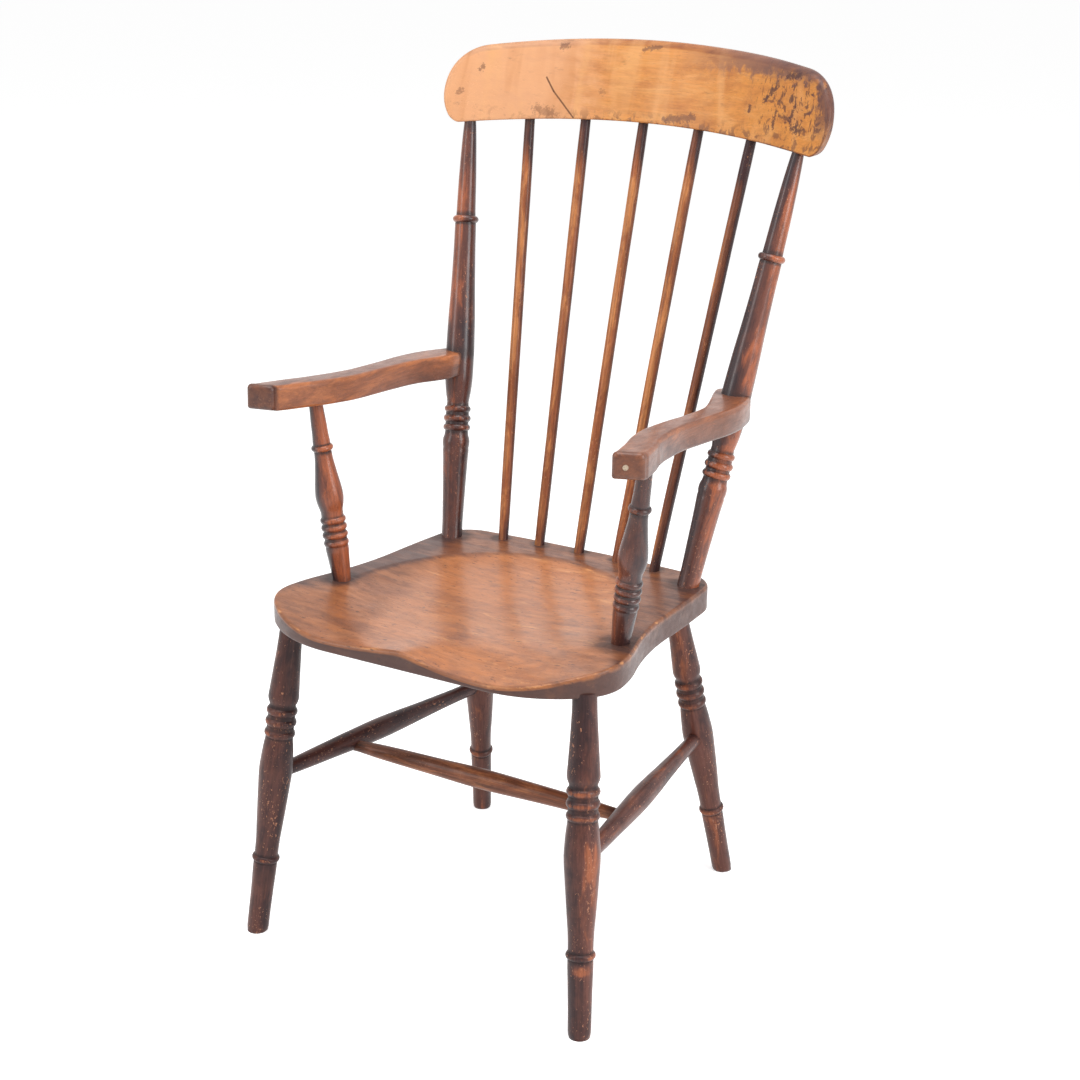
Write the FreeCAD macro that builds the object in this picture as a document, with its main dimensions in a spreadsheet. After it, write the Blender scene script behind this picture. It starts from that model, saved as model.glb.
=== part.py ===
import FreeCAD, Part
import math
import os

import Sketcher

# An English stick-back elbow chair in elm and beech: a saddled plank seat on
# four turned legs tied by an H of stretchers, two turned back posts and five
# sticks under a bent crest rail, and two arms on short turned supports.
# Millimetres. +Z is up, the floor is z = 0, the chair faces -Y, and +X is to
# the right of a viewer who stands in front of it. The origin is on the floor
# under the middle of the whole chair.

doc = FreeCAD.newDocument("captains_chair")
sheet = doc.addObject("Spreadsheet::Sheet", "sizes")
rows = iter(range(1, 400))


class Size:
    """A number together with the sheet expression that gives it."""

    def __init__(self, value, text):
        self.value = float(value)
        self.text = text

    @staticmethod
    def of(thing):
        return thing if isinstance(thing, Size) else Size(thing, "%.10g" % thing)

    def join(self, sign, other, value):
        return Size(value, "(%s %s %s)" % (self.text, sign, other.text))

    def __add__(self, other):
        other = Size.of(other)
        return self.join("+", other, self.value + other.value)

    def __sub__(self, other):
        other = Size.of(other)
        return self.join("-", other, self.value - other.value)

    def __mul__(self, other):
        other = Size.of(other)
        return self.join("*", other, self.value * other.value)

    def __truediv__(self, other):
        other = Size.of(other)
        return self.join("/", other, self.value / other.value)

    def __radd__(self, other):
        return Size.of(other) + self

    def __rsub__(self, other):
        return Size.of(other) - self

    def __rmul__(self, other):
        return Size.of(other) * self

    def __neg__(self):
        return Size(-self.value, "(0 - %s)" % self.text)


def root(a):
    return Size(math.sqrt(a.value), "sqrt(%s)" % a.text)


def size(alias, value):
    """Put one driving dimension in the sheet and return it."""
    cell = "A%d" % next(rows)
    sheet.set(cell, "%.10g" % value)
    sheet.setAlias(cell, alias)
    return Size(value, "sizes.%s" % alias)


# Fits
fit = size("socket_clearance", 0.15)
end_room = size("socket_end_room", 1)

# Seat, a plank whose flat border stands at seat_height
seat_height = size("seat_height", 443)
seat_thick = size("seat_thickness", 33)
seat_front = size("seat_front_edge", -287)
seat_depth = size("seat_depth", 418)
front_flat = size("seat_front_flat_half", 110)
front_half = size("seat_front_half", 239.5)
corner_in = size("seat_corner_in", 17.5)
corner_back = size("seat_corner_back", 47)
shoulder_back = size("seat_shoulder_back", 97)
waist_flare = size("seat_waist_flare", 23)
flare_back = size("seat_flare_back", 144)
waist_half = size("seat_waist_half", 206)
waist_back = size("seat_waist_back", 267)
rear_half = size("seat_rear_half", 195)
rear_corner = size("seat_rear_corner_radius", 38)
rear_bow = size("seat_rear_bow", 9)
edge_round = size("seat_edge_round", 3)

# The hollow of the seat, and the two thigh dips that leave the front ridge
bowl_half = size("bowl_half_width", 196)
bowl_length = size("bowl_half_length", 222)
bowl_middle = size("bowl_middle_from_front", 146)
bowl_deep = size("bowl_depth", 13)
dip_spread = size("thigh_dip_spread", 118)
dip_half = size("thigh_dip_half_width", 92)
dip_length = size("thigh_dip_half_length", 170)
dip_ahead = size("thigh_dip_ahead_of_front", 19)
dip_deep = size("thigh_dip_depth", 24)

# Leg middle lines: where they meet the underside and how far the feet splay
front_leg_x = size("front_leg_x", 208)
front_leg_inset = size("front_leg_inset", 55)
front_splay_x = size("front_leg_splay_out", 30)
front_splay_y = size("front_leg_splay_forward", 47)
back_leg_x = size("back_leg_x", 149)
back_leg_inset = size("back_leg_inset", 30)
back_splay_x = size("back_leg_splay_out", 41)
back_splay_y = size("back_leg_splay_back", 88)
leg_socket = size("leg_socket_depth", 22)

# Leg turning: radii, and distances from the floor along the leg
foot_r = size("leg_foot_radius", 13)
ankle_r = size("leg_ankle_radius", 14.6)
low_ring_r = size("leg_low_ring_radius", 17)
low_ring_at = size("leg_low_ring_at", 100)
low_ring_half = size("leg_low_ring_half", 4.5)
ankle_run = size("leg_ankle_run", 21)
swell_r = size("leg_swell_radius", 20.6)
swell_at = size("leg_swell_at", 222)
swell_before = size("leg_swell_before", 29)
swell_after = size("leg_swell_after", 22)
collar_r = size("leg_collar_radius", 17.4)
leg_ring_r = size("leg_ring_radius", 18.9)
leg_ring_at = size("leg_first_ring_at", 272)
leg_ring_pitch = size("leg_ring_pitch", 14.8)
leg_ring_half = size("leg_ring_half", 5)
leg_neck_r = size("leg_neck_radius", 16.3)
leg_neck_at = size("leg_neck_at", 308.5)
shoulder_r = size("leg_shoulder_radius", 18.8)
shoulder_at = size("leg_shoulder_at", 317)
shoulder_after = size("leg_shoulder_after", 12)
taper_r = size("leg_taper_radius", 15.3)
taper_at = size("leg_taper_at", 371)
leg_top_r = size("leg_top_radius", 14.1)

# Stretchers
stretcher_height = size("stretcher_height", 211)
tenon_short = size("stretcher_tenon_short_of_axis", 5)
side_end_r = size("side_stretcher_end_radius", 9)
side_swell_r = size("side_stretcher_swell_radius", 13.9)
side_swell_at = size("side_stretcher_swell_at", 190)
side_swell_half = size("side_stretcher_swell_half_run", 45)
cross_from_leg = size("cross_stretcher_from_front_leg", 141)
cross_end_r = size("cross_stretcher_end_radius", 7.5)
cross_swell_r = size("cross_stretcher_swell_radius", 13.1)
cross_swell_half = size("cross_stretcher_swell_half_run", 60)

# Back posts, by where they leave the seat and how they lean
post_x = size("post_x", 177.5)
post_inset = size("post_inset", 49)
post_spread = size("post_spread", 58)
post_socket = size("post_socket_depth", 24)
lean = size("back_lean_slope", 0.247)
crest_low = size("crest_underside_height", 972)

# Post turning: radii, and distances from the seat along the post
post_base_r = size("post_base_radius", 13.7)
post_base_run = size("post_base_run", 20)
post_flare_r = size("post_flare_radius", 16.4)
post_flare_at = size("post_flare_at", 98)
post_shoulder_r = size("post_shoulder_radius", 17.9)
post_shoulder_at = size("post_shoulder_at", 126)
post_ring_r = size("post_ring_radius", 18)
post_ring_at = size("post_first_ring_at", 144)
post_ring_pitch = size("post_ring_pitch", 12)
post_ring_half = size("post_ring_half", 4.6)
post_groove_r = size("post_groove_radius", 15.6)
post_neck_r = size("post_neck_radius", 14.4)
post_neck_at = size("post_neck_at", 176)
post_arm_r = size("post_arm_radius", 18.7)
post_arm_at = size("post_widest_at", 243)
post_arm_before = size("post_swell_before", 38)
post_arm_after = size("post_swell_after", 36)
post_slim_r = size("post_slim_radius", 14)
post_slim_at = size("post_slim_at", 385)
post_top_ring_r = size("post_top_ring_radius", 17)
post_top_ring_at = size("post_top_ring_at", 420)
post_top_ring_half = size("post_top_ring_half", 4.2)
post_upper_r = size("post_upper_radius", 12.5)
post_upper_at = size("post_upper_at", 427)
post_taper_r = size("post_taper_radius", 11.1)
post_taper_at = size("post_taper_at", 485)
post_end_r = size("post_end_radius", 7.5)
post_tip_r = size("post_tip_radius", 5.6)
post_tenon = size("post_tenon", 28)

# Sticks
stick_r = size("stick_radius", 6.9)
stick_end_r = size("stick_end_radius", 6.5)
stick_ease = size("stick_end_taper", 28)
stick_pitch = size("stick_pitch_at_seat", 57.8)
stick_pitch_top = size("stick_pitch_at_crest", 81)
stick_inset = size("stick_inset", 15)
stick_row_r = size("stick_row_radius", 750)
stick_socket = size("stick_socket_depth", 18)
stick_tenon = size("stick_tenon_in_crest", 22)

# Crest rail
crest_half = size("crest_half_length", 274)
crest_thick = size("crest_thickness", 19)
crest_bend = size("crest_bend_radius", 662)
crest_high = size("crest_height_at_middle", 100)
crest_arch = size("crest_underside_arch", 15)
crest_top_drop = size("crest_top_drop_at_corners", 16)
crest_corner = size("crest_corner_run", 46)
crest_corner_fall = size("crest_corner_fall", 46)
crest_end_in = size("crest_end_draws_in", 17)
crest_front_round = size("crest_front_round", 8)
crest_back_round = size("crest_back_round", 6)
crest_low_round = size("crest_lower_round", 2)

# Arms, by their middle line from the post to the front
arm_height = size("arm_top_at_posts", 682)
rise = size("arm_rise_slope", 0.0607)
arm_thick = size("arm_thickness", 30)
arm_half = size("arm_half_width", 16.5)
arm_waist_x = size("arm_waist_x", 221.5)
arm_waist_at = size("arm_waist_from_post", 200)
arm_waist_run = size("arm_waist_half_run", 15)
arm_inner_waist_at = size("arm_inner_waist_from_post", 227)
arm_bulge = size("arm_bulge_out", 4)
arm_bulge_at = size("arm_bulge_from_post", 95)
arm_inner_bulge_at = size("arm_inner_bulge_from_post", 130)
arm_rear_draw = size("arm_rear_draws_in", 9)
arm_rear_at = size("arm_rear_draw_from_post", 72)
arm_neck_out = size("arm_neck_out", 13.5)
arm_neck_at = size("arm_neck_from_post", 296)
arm_front_x = size("arm_front_x", 255)
arm_front_at = size("arm_front_from_post", 367)
arm_front_skew = size("arm_front_skew", 9)
arm_plain_skew = size("arm_plain_front_skew", 6)
arm_lip_out = size("arm_lip_from_post_middle", 16.3)
arm_lip_back = size("arm_lip_behind_post_middle", 13)
arm_lobe = size("arm_inner_lobe", 15.5)
arm_lobe_back = size("arm_lobe_behind_post", 10)
arm_lobe_round = size("arm_lobe_round", 4)
arm_toe_out = size("arm_plain_end_from_post_middle", 14)
arm_toe_at = size("arm_plain_end_before_post", 41)
arm_edge_round = size("arm_edge_round", 4)

# Arm supports, by where they leave the seat and how they lean
support_x = size("support_x", 201.5)
support_back = size("support_from_front", 149)
support_out = size("support_leans_out", 30.5)
support_ahead = size("support_leans_forward", 7)
support_socket = size("support_socket_depth", 20)
support_tenon = size("support_tenon_in_arm", 16)

# Support turning: radii, and distances from the seat along the support
support_base_r = size("support_base_radius", 11)
support_collar_r = size("support_collar_radius", 15.5)
support_collar_at = size("support_collar_at", 48)
support_ring_r = size("support_ring_radius", 16.1)
support_ring_at = size("support_first_ring_at", 58.5)
support_ring_pitch = size("support_ring_pitch", 9.8)
support_ring_half = size("support_ring_half", 4)
support_groove_r = size("support_groove_radius", 14.2)
support_neck_at = size("support_neck_at", 90)
support_swell_r = size("support_swell_radius", 17.5)
support_swell_at = size("support_swell_at", 109)
support_swell_before = size("support_swell_before", 8)
support_swell_after = size("support_swell_after", 15)
support_slim_r = size("support_slim_radius", 10.9)
support_slim_at = size("support_slim_at", 158)
support_top_ring_r = size("support_top_ring_radius", 13.6)
support_top_ring_at = size("support_top_ring_at", 171)
support_top_ring_half = size("support_top_ring_half", 3.6)
support_top_r = size("support_top_radius", 8.2)

# How much slimmer a rounded swell is at its ends than in its middle
swell_ease = size("swell_ease", 0.955)

# Screws that hold the arms to the posts, and the tack in one arm's end
screw_head_r = size("arm_screw_head_radius", 4.5)
screw_head_high = size("arm_screw_head_height", 2.6)
screw_r = size("arm_screw_radius", 2.2)
screw_sunk = size("arm_screw_sunk", 0.6)
screw_bite = size("arm_screw_bite_in_arm", 22)
tack_head_r = size("tack_head_radius", 3.2)
tack_head_high = size("tack_head_height", 1.2)
tack_r = size("tack_shank_radius", 1)
tack_long = size("tack_length", 14)
tack_in = size("tack_from_inner_edge", 13)
tack_down = size("tack_below_top", 16)

doc.recompute()


# Points in space and the things placed on them

def spot(x, y, z):
    return (Size.of(x), Size.of(y), Size.of(z))


def mirrored(point, side):
    return (side * point[0], point[1], point[2])


def span(a, b):
    return tuple(q - p for p, q in zip(a, b))


def reach(a, b):
    dx, dy, dz = span(a, b)
    return root(dx * dx + dy * dy + dz * dz)


def along(a, b, share):
    return tuple(p + (q - p) * share for p, q in zip(a, b))


def toward(a, b, distance):
    """The point at a distance from a towards b, or behind a if it is negative."""
    return along(a, b, distance / reach(a, b))


def bind(thing, prop, a):
    """Set a property now and tie it to the sheet."""
    setattr(thing, prop, a.value)
    thing.setExpression(prop, a.text)


def place(thing, point):
    """Put a thing's own origin on a point, with no turn."""
    base = FreeCAD.Vector(*[p.value for p in point])
    thing.Placement = FreeCAD.Placement(base, FreeCAD.Rotation())
    for letter, p in zip("xyz", point):
        thing.setExpression(".Placement.Base." + letter, p.text)


def stand(thing, a, b):
    """Place a thing so that its own +Z runs from point a towards point b."""
    dx, dy, dz = span(a, b)
    flat = root(dx * dx + dy * dy)
    angle = math.degrees(math.atan2(flat.value, dz.value))
    turn = FreeCAD.Rotation(FreeCAD.Vector(-dy.value, dx.value, 0), angle)
    thing.Placement = FreeCAD.Placement(FreeCAD.Vector(*[p.value for p in a]), turn)
    base = "vector(%s; %s; %s)" % tuple(p.text for p in a)
    axis = "vector(%s; %s; 0)" % ((-dy).text, dx.text)
    tilt = "atan2(%s; %s)" % (flat.text, dz.text)
    thing.setExpression("Placement", "placement(%s; rotation(%s; %s))" % (base, axis, tilt))


def rod(name, radius, length, a, b):
    """A plain cylinder that starts at a and runs towards b."""
    thing = doc.addObject("Part::Cylinder", name)
    bind(thing, "Radius", radius)
    bind(thing, "Height", length)
    stand(thing, a, b)
    return thing


def bore(name, radius, deep, mouth, outside):
    """A round socket: it runs in from its mouth, and starts a radius outside it."""
    start = toward(mouth, outside, radius)
    length = deep + end_room + radius
    return rod(name, radius + fit, length, start, toward(mouth, outside, -radius))


def cut(name, base, tools):
    """The base less every tool."""
    cutter = tools[0]
    if len(tools) > 1:
        cutter = doc.addObject("Part::MultiFuse", name + "_cutters")
        cutter.Shapes = tools
    result = doc.addObject("Part::Cut", name)
    result.Base = base
    result.Tool = cutter
    result.Label = name
    return result


# Sketches and bodies

def new_body(name):
    body = doc.addObject("PartDesign::Body", name)
    body.Label = name
    return body


def new_sketch(body, name, role):
    sketch = body.newObject("Sketcher::SketchObject", name)
    plane = [p for p in body.Origin.OriginFeatures if p.Role == role][0]
    sketch.AttachmentSupport = (plane, "")
    sketch.MapMode = "FlatFace"
    return sketch


def pin(sketch, geometry, end, x, y):
    """Tie one end of a sketch line, arc or point to sheet values."""
    for kind, a in (("DistanceX", Size.of(x)), ("DistanceY", Size.of(y))):
        row = sketch.addConstraint(Sketcher.Constraint(kind, -1, 1, geometry, end, a.value))
        if "sizes." in a.text:
            sketch.setExpression("Constraints[%d]" % row, a.text)


def wrap(angle):
    return (angle + math.pi) % (2 * math.pi) - math.pi


def bow(a, b, turn):
    """The middle of the arc from a to b whose ends each leave the chord by a turn."""
    chord = b - a
    right_hand = FreeCAD.Vector(chord.y, -chord.x, 0)
    return (a + b) * 0.5 + right_hand * (math.tan(turn / 2) / 2)


def outline(sketch, start, steps):
    """Draw a closed outline. A step is one of these:
    (x, y) a straight line, (x, y, mid x, mid y) an arc through a middle point,
    (x, y, "on") an arc that carries on smoothly from the piece before,
    (x, y, "into") an arc that runs smoothly into the piece after.
    """
    count = len(steps)
    ends = [FreeCAD.Vector(Size.of(p[0]).value, Size.of(p[1]).value, 0) for p in [start] + steps]
    bearing = [math.atan2((b - a).y, (b - a).x) for a, b in zip(ends, ends[1:])]
    turn = [0.0] * count
    for k, step in enumerate(steps):
        if len(step) == 4:
            half = FreeCAD.Vector(Size.of(step[2]).value, Size.of(step[3]).value, 0) - ends[k]
            turn[k] = 2 * wrap(bearing[k] - math.atan2(half.y, half.x))
        elif step[2:] == ("on",):
            turn[k] = wrap(bearing[k] - bearing[k - 1] - turn[k - 1])
    for k in reversed(range(count)):
        if steps[k][2:] == ("into",):
            after = (k + 1) % count
            turn[k] = wrap(bearing[after] - turn[after] - bearing[k])
    drawn = []
    for k, step in enumerate(steps):
        middle = bow(ends[k], ends[k + 1], turn[k])
        if len(step) == 2:
            number = sketch.addGeometry(Part.LineSegment(ends[k], ends[k + 1]), False)
            drawn.append((number, 1, 2))
        else:
            number = sketch.addGeometry(Part.Arc(ends[k], middle, ends[k + 1]), False)
            drawn.append((number, 1, 2) if turn[k] > 0 else (number, 2, 1))
        if len(step) == 4:
            guide = sketch.addGeometry(Part.Point(middle), True)
            sketch.addConstraint(Sketcher.Constraint("PointOnObject", guide, 1, number))
            pin(sketch, guide, 1, step[2], step[3])
    for k, step in enumerate(steps):
        after = (k + 1) % count
        smooth = step[2:] == ("into",) or steps[after][2:] == ("on",)
        one, two = drawn[k], drawn[after]
        kind = "Tangent" if smooth else "Coincident"
        sketch.addConstraint(Sketcher.Constraint(kind, one[0], one[2], two[0], two[1]))
        pin(sketch, one[0], one[2], step[0], step[1])


def rims_of(shape, keep):
    """Names of a board's level edges whose middle point passes a test."""
    found = []
    for number, rim in enumerate(shape.Edges, 1):
        middle = rim.valueAt((rim.FirstParameter + rim.LastParameter) / 2)
        if abs(rim.Vertexes[0].Z - rim.Vertexes[-1].Z) < 0.01 and keep(middle):
            found.append("Edge%d" % number)
    return found


def rounded(body, base, names, label, radius):
    soft = body.newObject("PartDesign::Fillet", label)
    soft.Base = (base, names)
    bind(soft, "Radius", radius)
    body.Tip = soft
    doc.recompute()
    return soft


# Turned work: a profile of (distance, radius) stations, spun about its own Z

def turned(name, stations, a, b):
    body = new_body(name)
    sketch = new_sketch(body, name + "_profile", "XZ_Plane")
    low, high = stations[0], stations[-1]
    steps = [(s[1], s[0], s[3], s[2]) if len(s) == 4 else (s[1], s[0]) for s in stations]
    steps.append((0, high[0]))
    steps.append((0, low[0]))
    outline(sketch, (0, low[0]), steps)
    lathe = body.newObject("PartDesign::Revolution", name + "_spin")
    lathe.Profile = sketch
    lathe.ReferenceAxis = (sketch, ["V_Axis"])
    lathe.Angle = 360
    stand(body, a, b)
    return body


def ring(at, half, radius, groove_r):
    """A rounded ring that stands between two grooves."""
    return [(at - half, groove_r), (at + half, groove_r, at, radius)]


def rings(first, pitch, half, radius, groove_r):
    """Three rings in a row."""
    return [s for k in range(3) for s in ring(first + pitch * k, half, radius, groove_r)]


def swell(at, before, after, radius):
    """A long rounded swell, widest at one distance."""
    end_r = radius * swell_ease
    return [(at - before, end_r), (at + after, end_r, at, radius)]


# Middle lines of the slanting pieces, on the +X side

sides = (("left", -1), ("right", 1))
seat_under = seat_height - seat_thick
seat_rear = seat_front + seat_depth

front_y = seat_front + front_leg_inset
front_top = spot(front_leg_x, front_y, seat_under)
front_foot = spot(front_leg_x + front_splay_x, front_y - front_splay_y, 0)
back_y = seat_rear - back_leg_inset
back_top = spot(back_leg_x, back_y, seat_under)
back_foot = spot(back_leg_x + back_splay_x, back_y + back_splay_y, 0)
side_front = along(front_foot, front_top, stretcher_height / seat_under)
side_back = along(back_foot, back_top, stretcher_height / seat_under)
cross_end = toward(side_front, side_back, cross_from_leg)

post_rise = crest_low - seat_height
post_low = spot(post_x, seat_rear - post_inset, seat_height)
post_high = spot(post_x + post_spread, post_low[1] + post_rise * lean, crest_low)
arm_middle = arm_height - arm_thick / 2
post_mid = along(post_low, post_high, (arm_middle - seat_height) / post_rise)

support_low = spot(support_x, seat_front + support_back, seat_height)
support_top_y = support_low[1] - support_ahead
arm_under = arm_height - arm_thick + (post_mid[1] - support_top_y) * rise
support_high = spot(support_x + support_out, support_top_y, arm_under)

# The crest's middle surface is bent in plan and leans with the posts


def crest_drop(x):
    return crest_bend - root(crest_bend * crest_bend - x * x)


crest_back = post_high[1] + crest_drop(post_high[0])


def crest_y(x, z):
    return crest_back - crest_drop(x) + (z - crest_low) * lean


def crest_under(x):
    share = x / crest_half
    return crest_low + crest_arch * (1 - share * share)


# Sticks run from an arc on the seat's border to the crest's underside
stick_names = ("stick_far_left", "stick_left", "stick_middle", "stick_right", "stick_far_right")
stick_lines = []
for number, name in enumerate(stick_names):
    step_out = number - len(stick_names) // 2
    x = stick_pitch * step_out
    row_drop = stick_row_r - root(stick_row_r * stick_row_r - x * x)
    low = spot(x, seat_rear - stick_inset - row_drop, seat_height)
    x = stick_pitch_top * step_out
    z = crest_under(x)
    stick_lines.append((name, low, spot(x, crest_y(x, z), z)))

parts = []


# Legs: cut level at the floor and bored for the side stretchers

def leg(name, foot, top, rail):
    length = reach(foot, top)
    stations = [(-foot_r, foot_r)]
    stations += ring(low_ring_at, low_ring_half, low_ring_r, ankle_r)
    stations.append((low_ring_at + ankle_run, ankle_r))
    stations += swell(swell_at, swell_before, swell_after, swell_r)
    stations.append((leg_ring_at - leg_ring_pitch / 2, collar_r))
    stations += rings(leg_ring_at, leg_ring_pitch, leg_ring_half, leg_ring_r, collar_r)
    stations.append((leg_neck_at, leg_neck_r))
    shoulder_end = shoulder_at + shoulder_after
    stations.append((shoulder_end, shoulder_r * swell_ease, shoulder_at, shoulder_r))
    stations.append((taper_at, taper_r))
    stations.append((length, leg_top_r))
    stations.append((length + leg_socket, leg_top_r))
    spun = turned(name + "_turning", stations, foot, top)
    floor = doc.addObject("Part::Box", name + "_floor")
    wide = foot_r * 6
    for prop in ("Length", "Width", "Height"):
        bind(floor, prop, wide)
    place(floor, (foot[0] - wide / 2, foot[1] - wide / 2, -wide))
    a, b = rail
    start = toward(a, b, tenon_short - end_room)
    socket = rod(name + "_socket", side_end_r + fit, swell_r * 2, start, b)
    return cut(name, spun, [floor, socket])


for side_name, side in sides:
    foot, top = mirrored(front_foot, side), mirrored(front_top, side)
    rail = [mirrored(side_front, side), mirrored(side_back, side)]
    parts.append(leg("leg_front_" + side_name, foot, top, rail))
    foot, top = mirrored(back_foot, side), mirrored(back_top, side)
    parts.append(leg("leg_back_" + side_name, foot, top, rail[::-1]))


# Stretchers: swelled rods whose ends are straight round tenons

def rail_stations(length, end_r, entry_r, middle):
    """Straight ends out of the piece they enter, and a swell between them."""
    head = [(tenon_short, end_r), (entry_r, end_r)]
    return head + middle + [(length - entry_r, end_r), (length - tenon_short, end_r)]


for side_name, side in sides:
    a, b = mirrored(side_front, side), mirrored(side_back, side)
    middle = swell(side_swell_at, side_swell_half, side_swell_half, side_swell_r)
    stations = rail_stations(reach(a, b), side_end_r, swell_r, middle)
    spun = turned("stretcher_%s_turning" % side_name, stations, a, b)
    c, d = mirrored(cross_end, side), mirrored(cross_end, -side)
    start = toward(c, d, tenon_short - end_room)
    socket = rod("cross_socket_" + side_name, cross_end_r + fit, side_swell_r * 2, start, d)
    parts.append(cut("stretcher_" + side_name, spun, [socket]))

length = reach(c, d)
middle = swell(length / 2, cross_swell_half, cross_swell_half, cross_swell_r)
stations = rail_stations(length, cross_end_r, side_swell_r, middle)
parts.append(turned("stretcher_cross", stations, d, c))


# The seat: a plank cut to its outline, hollowed, dipped for the thighs and bored

def seat_side(side):
    """One side of the seat's edge, from its front corner to its rear corner."""
    return [
        (side * (front_half - corner_in), seat_front + corner_back),
        (side * front_half, seat_front + shoulder_back),
        (side * (waist_half + waist_flare), seat_front + flare_back),
        (side * waist_half, seat_front + waist_back),
        (side * rear_half, seat_rear - rear_bow),
    ]


plank = new_body("seat_plank")
edge = new_sketch(plank, "seat_outline", "XY_Plane")
there = seat_side(1)
back_again = seat_side(-1)[::-1]
steps = [(front_flat, seat_front)]
steps += [point + ("on",) for point in there]
steps.append(back_again[0] + (0, seat_rear))
steps += [point + ("into",) for point in back_again[1:]]
steps.append((-front_flat, seat_front, "into"))
outline(edge, (-front_flat, seat_front), steps)
pad = plank.newObject("PartDesign::Pad", "seat_plank_pad")
pad.Profile = edge
bind(pad, "Length", seat_thick)
plank.Tip = pad
doc.recompute()

corners = []
for number, upright in enumerate(pad.Shape.Edges, 1):
    ends = upright.Vertexes
    at_rear = ends[0].Y > (seat_rear - rear_corner).value
    if at_rear and abs(ends[0].Z - ends[-1].Z) > edge_round.value:
        corners.append("Edge%d" % number)
cornered = rounded(plank, pad, corners, "seat_rear_corners", rear_corner)
rounded(plank, cornered, rims_of(cornered.Shape, lambda p: True), "seat_edge", edge_round)
place(plank, spot(0, 0, seat_under))


def hollow(name, x, y, half, length, deep, flatness):
    """An ellipsoid that scoops to a depth inside a given rim on the seat's top."""
    scoop = doc.addObject("Part::Ellipsoid", name)
    lift = deep * flatness
    share = root(1 - (lift / (lift + deep)) * (lift / (lift + deep)))
    bind(scoop, "Radius1", lift + deep)
    bind(scoop, "Radius2", half / share)
    bind(scoop, "Radius3", length / share)
    place(scoop, (Size.of(x), y, seat_height + lift))
    return scoop


bowl_y = seat_front + bowl_middle
cutters = [hollow("seat_bowl", 0, bowl_y, bowl_half, bowl_length, bowl_deep, 3)]
for side_name, side in sides:
    dip_x, dip_y = side * dip_spread, seat_front - dip_ahead
    dip = hollow("thigh_dip_" + side_name, dip_x, dip_y, dip_half, dip_length, dip_deep, 1)
    cutters.append(dip)
    for where, foot, top in (("front", front_foot, front_top), ("back", back_foot, back_top)):
        name = "leg_socket_%s_%s" % (where, side_name)
        a, b = mirrored(top, side), mirrored(foot, side)
        cutters.append(bore(name, leg_top_r, leg_socket, a, b))
    a, b = mirrored(post_low, side), mirrored(post_high, side)
    cutters.append(bore("post_socket_" + side_name, post_base_r, post_socket, a, b))
    a, b = mirrored(support_low, side), mirrored(support_high, side)
    cutters.append(bore("support_socket_" + side_name, support_base_r, support_socket, a, b))
for name, low, high in stick_lines:
    cutters.append(bore(name + "_seat_socket", stick_end_r, stick_socket, low, high))
parts.append(cut("seat", plank, cutters))


# Screws through the posts into the arms: countersunk heads on the posts' backs

def screw_line(side):
    """From the screw's head on the back of the post to its point in the arm."""
    x, y, z = mirrored(post_mid, side)
    head = (x, y + post_arm_r - screw_sunk, z)
    return head, (x, y - post_arm_r - screw_bite, z + (post_arm_r * 2 + screw_bite) * rise)


def screw_shape(name, side, room):
    """The screw itself, or with room round it the hole that it needs."""
    head, point = screw_line(side)
    shank = rod(name + "_shank", screw_r + room, reach(head, point) + room, head, point)
    cone = doc.addObject("Part::Cone", name + "_head")
    bind(cone, "Radius1", screw_head_r + room)
    bind(cone, "Radius2", screw_r + room)
    bind(cone, "Height", screw_head_high)
    stand(cone, head, point)
    pieces = [shank, cone]
    if room.value > 0:
        behind = toward(head, point, -screw_head_high)
        pieces.append(rod(name + "_sink", screw_head_r + room, screw_head_high, behind, point))
    whole = doc.addObject("Part::MultiFuse", name)
    whole.Shapes = pieces
    return whole


# Back posts

def post(side_name, side):
    low, high = mirrored(post_low, side), mirrored(post_high, side)
    length = reach(low, high)
    stations = [(-post_socket, post_base_r), (post_base_run, post_base_r)]
    stations.append((post_flare_at, post_flare_r))
    first_groove = post_ring_at - post_ring_pitch / 2
    stations.append((first_groove, post_groove_r, post_shoulder_at, post_shoulder_r))
    stations += rings(post_ring_at, post_ring_pitch, post_ring_half, post_ring_r, post_groove_r)
    stations.append((post_neck_at, post_neck_r))
    stations += swell(post_arm_at, post_arm_before, post_arm_after, post_arm_r)
    stations.append((post_slim_at, post_slim_r))
    stations += ring(post_top_ring_at, post_top_ring_half, post_top_ring_r, post_slim_r)
    stations.append((post_upper_at, post_upper_r))
    stations.append((post_taper_at, post_taper_r))
    stations.append((length, post_end_r))
    stations.append((length + post_tenon, post_tip_r))
    spun = turned("post_%s_turning" % side_name, stations, low, high)
    hole = screw_shape("screw_hole_" + side_name, side, fit)
    return cut("post_" + side_name, spun, [hole])


for side_name, side in sides:
    parts.append(post(side_name, side))


# Sticks: plain rods, eased at both ends

for name, low, high in stick_lines:
    length = reach(low, high)
    stations = [
        (-stick_socket, stick_end_r),
        (stick_r, stick_end_r),
        (stick_r + stick_ease, stick_r),
        (length - stick_r - stick_ease, stick_r),
        (length - stick_r, stick_end_r),
        (length + stick_tenon, stick_end_r),
    ]
    parts.append(turned(name, stations, low, high))


# The crest: a bent leaning band, trimmed to its front outline and rounded

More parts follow.
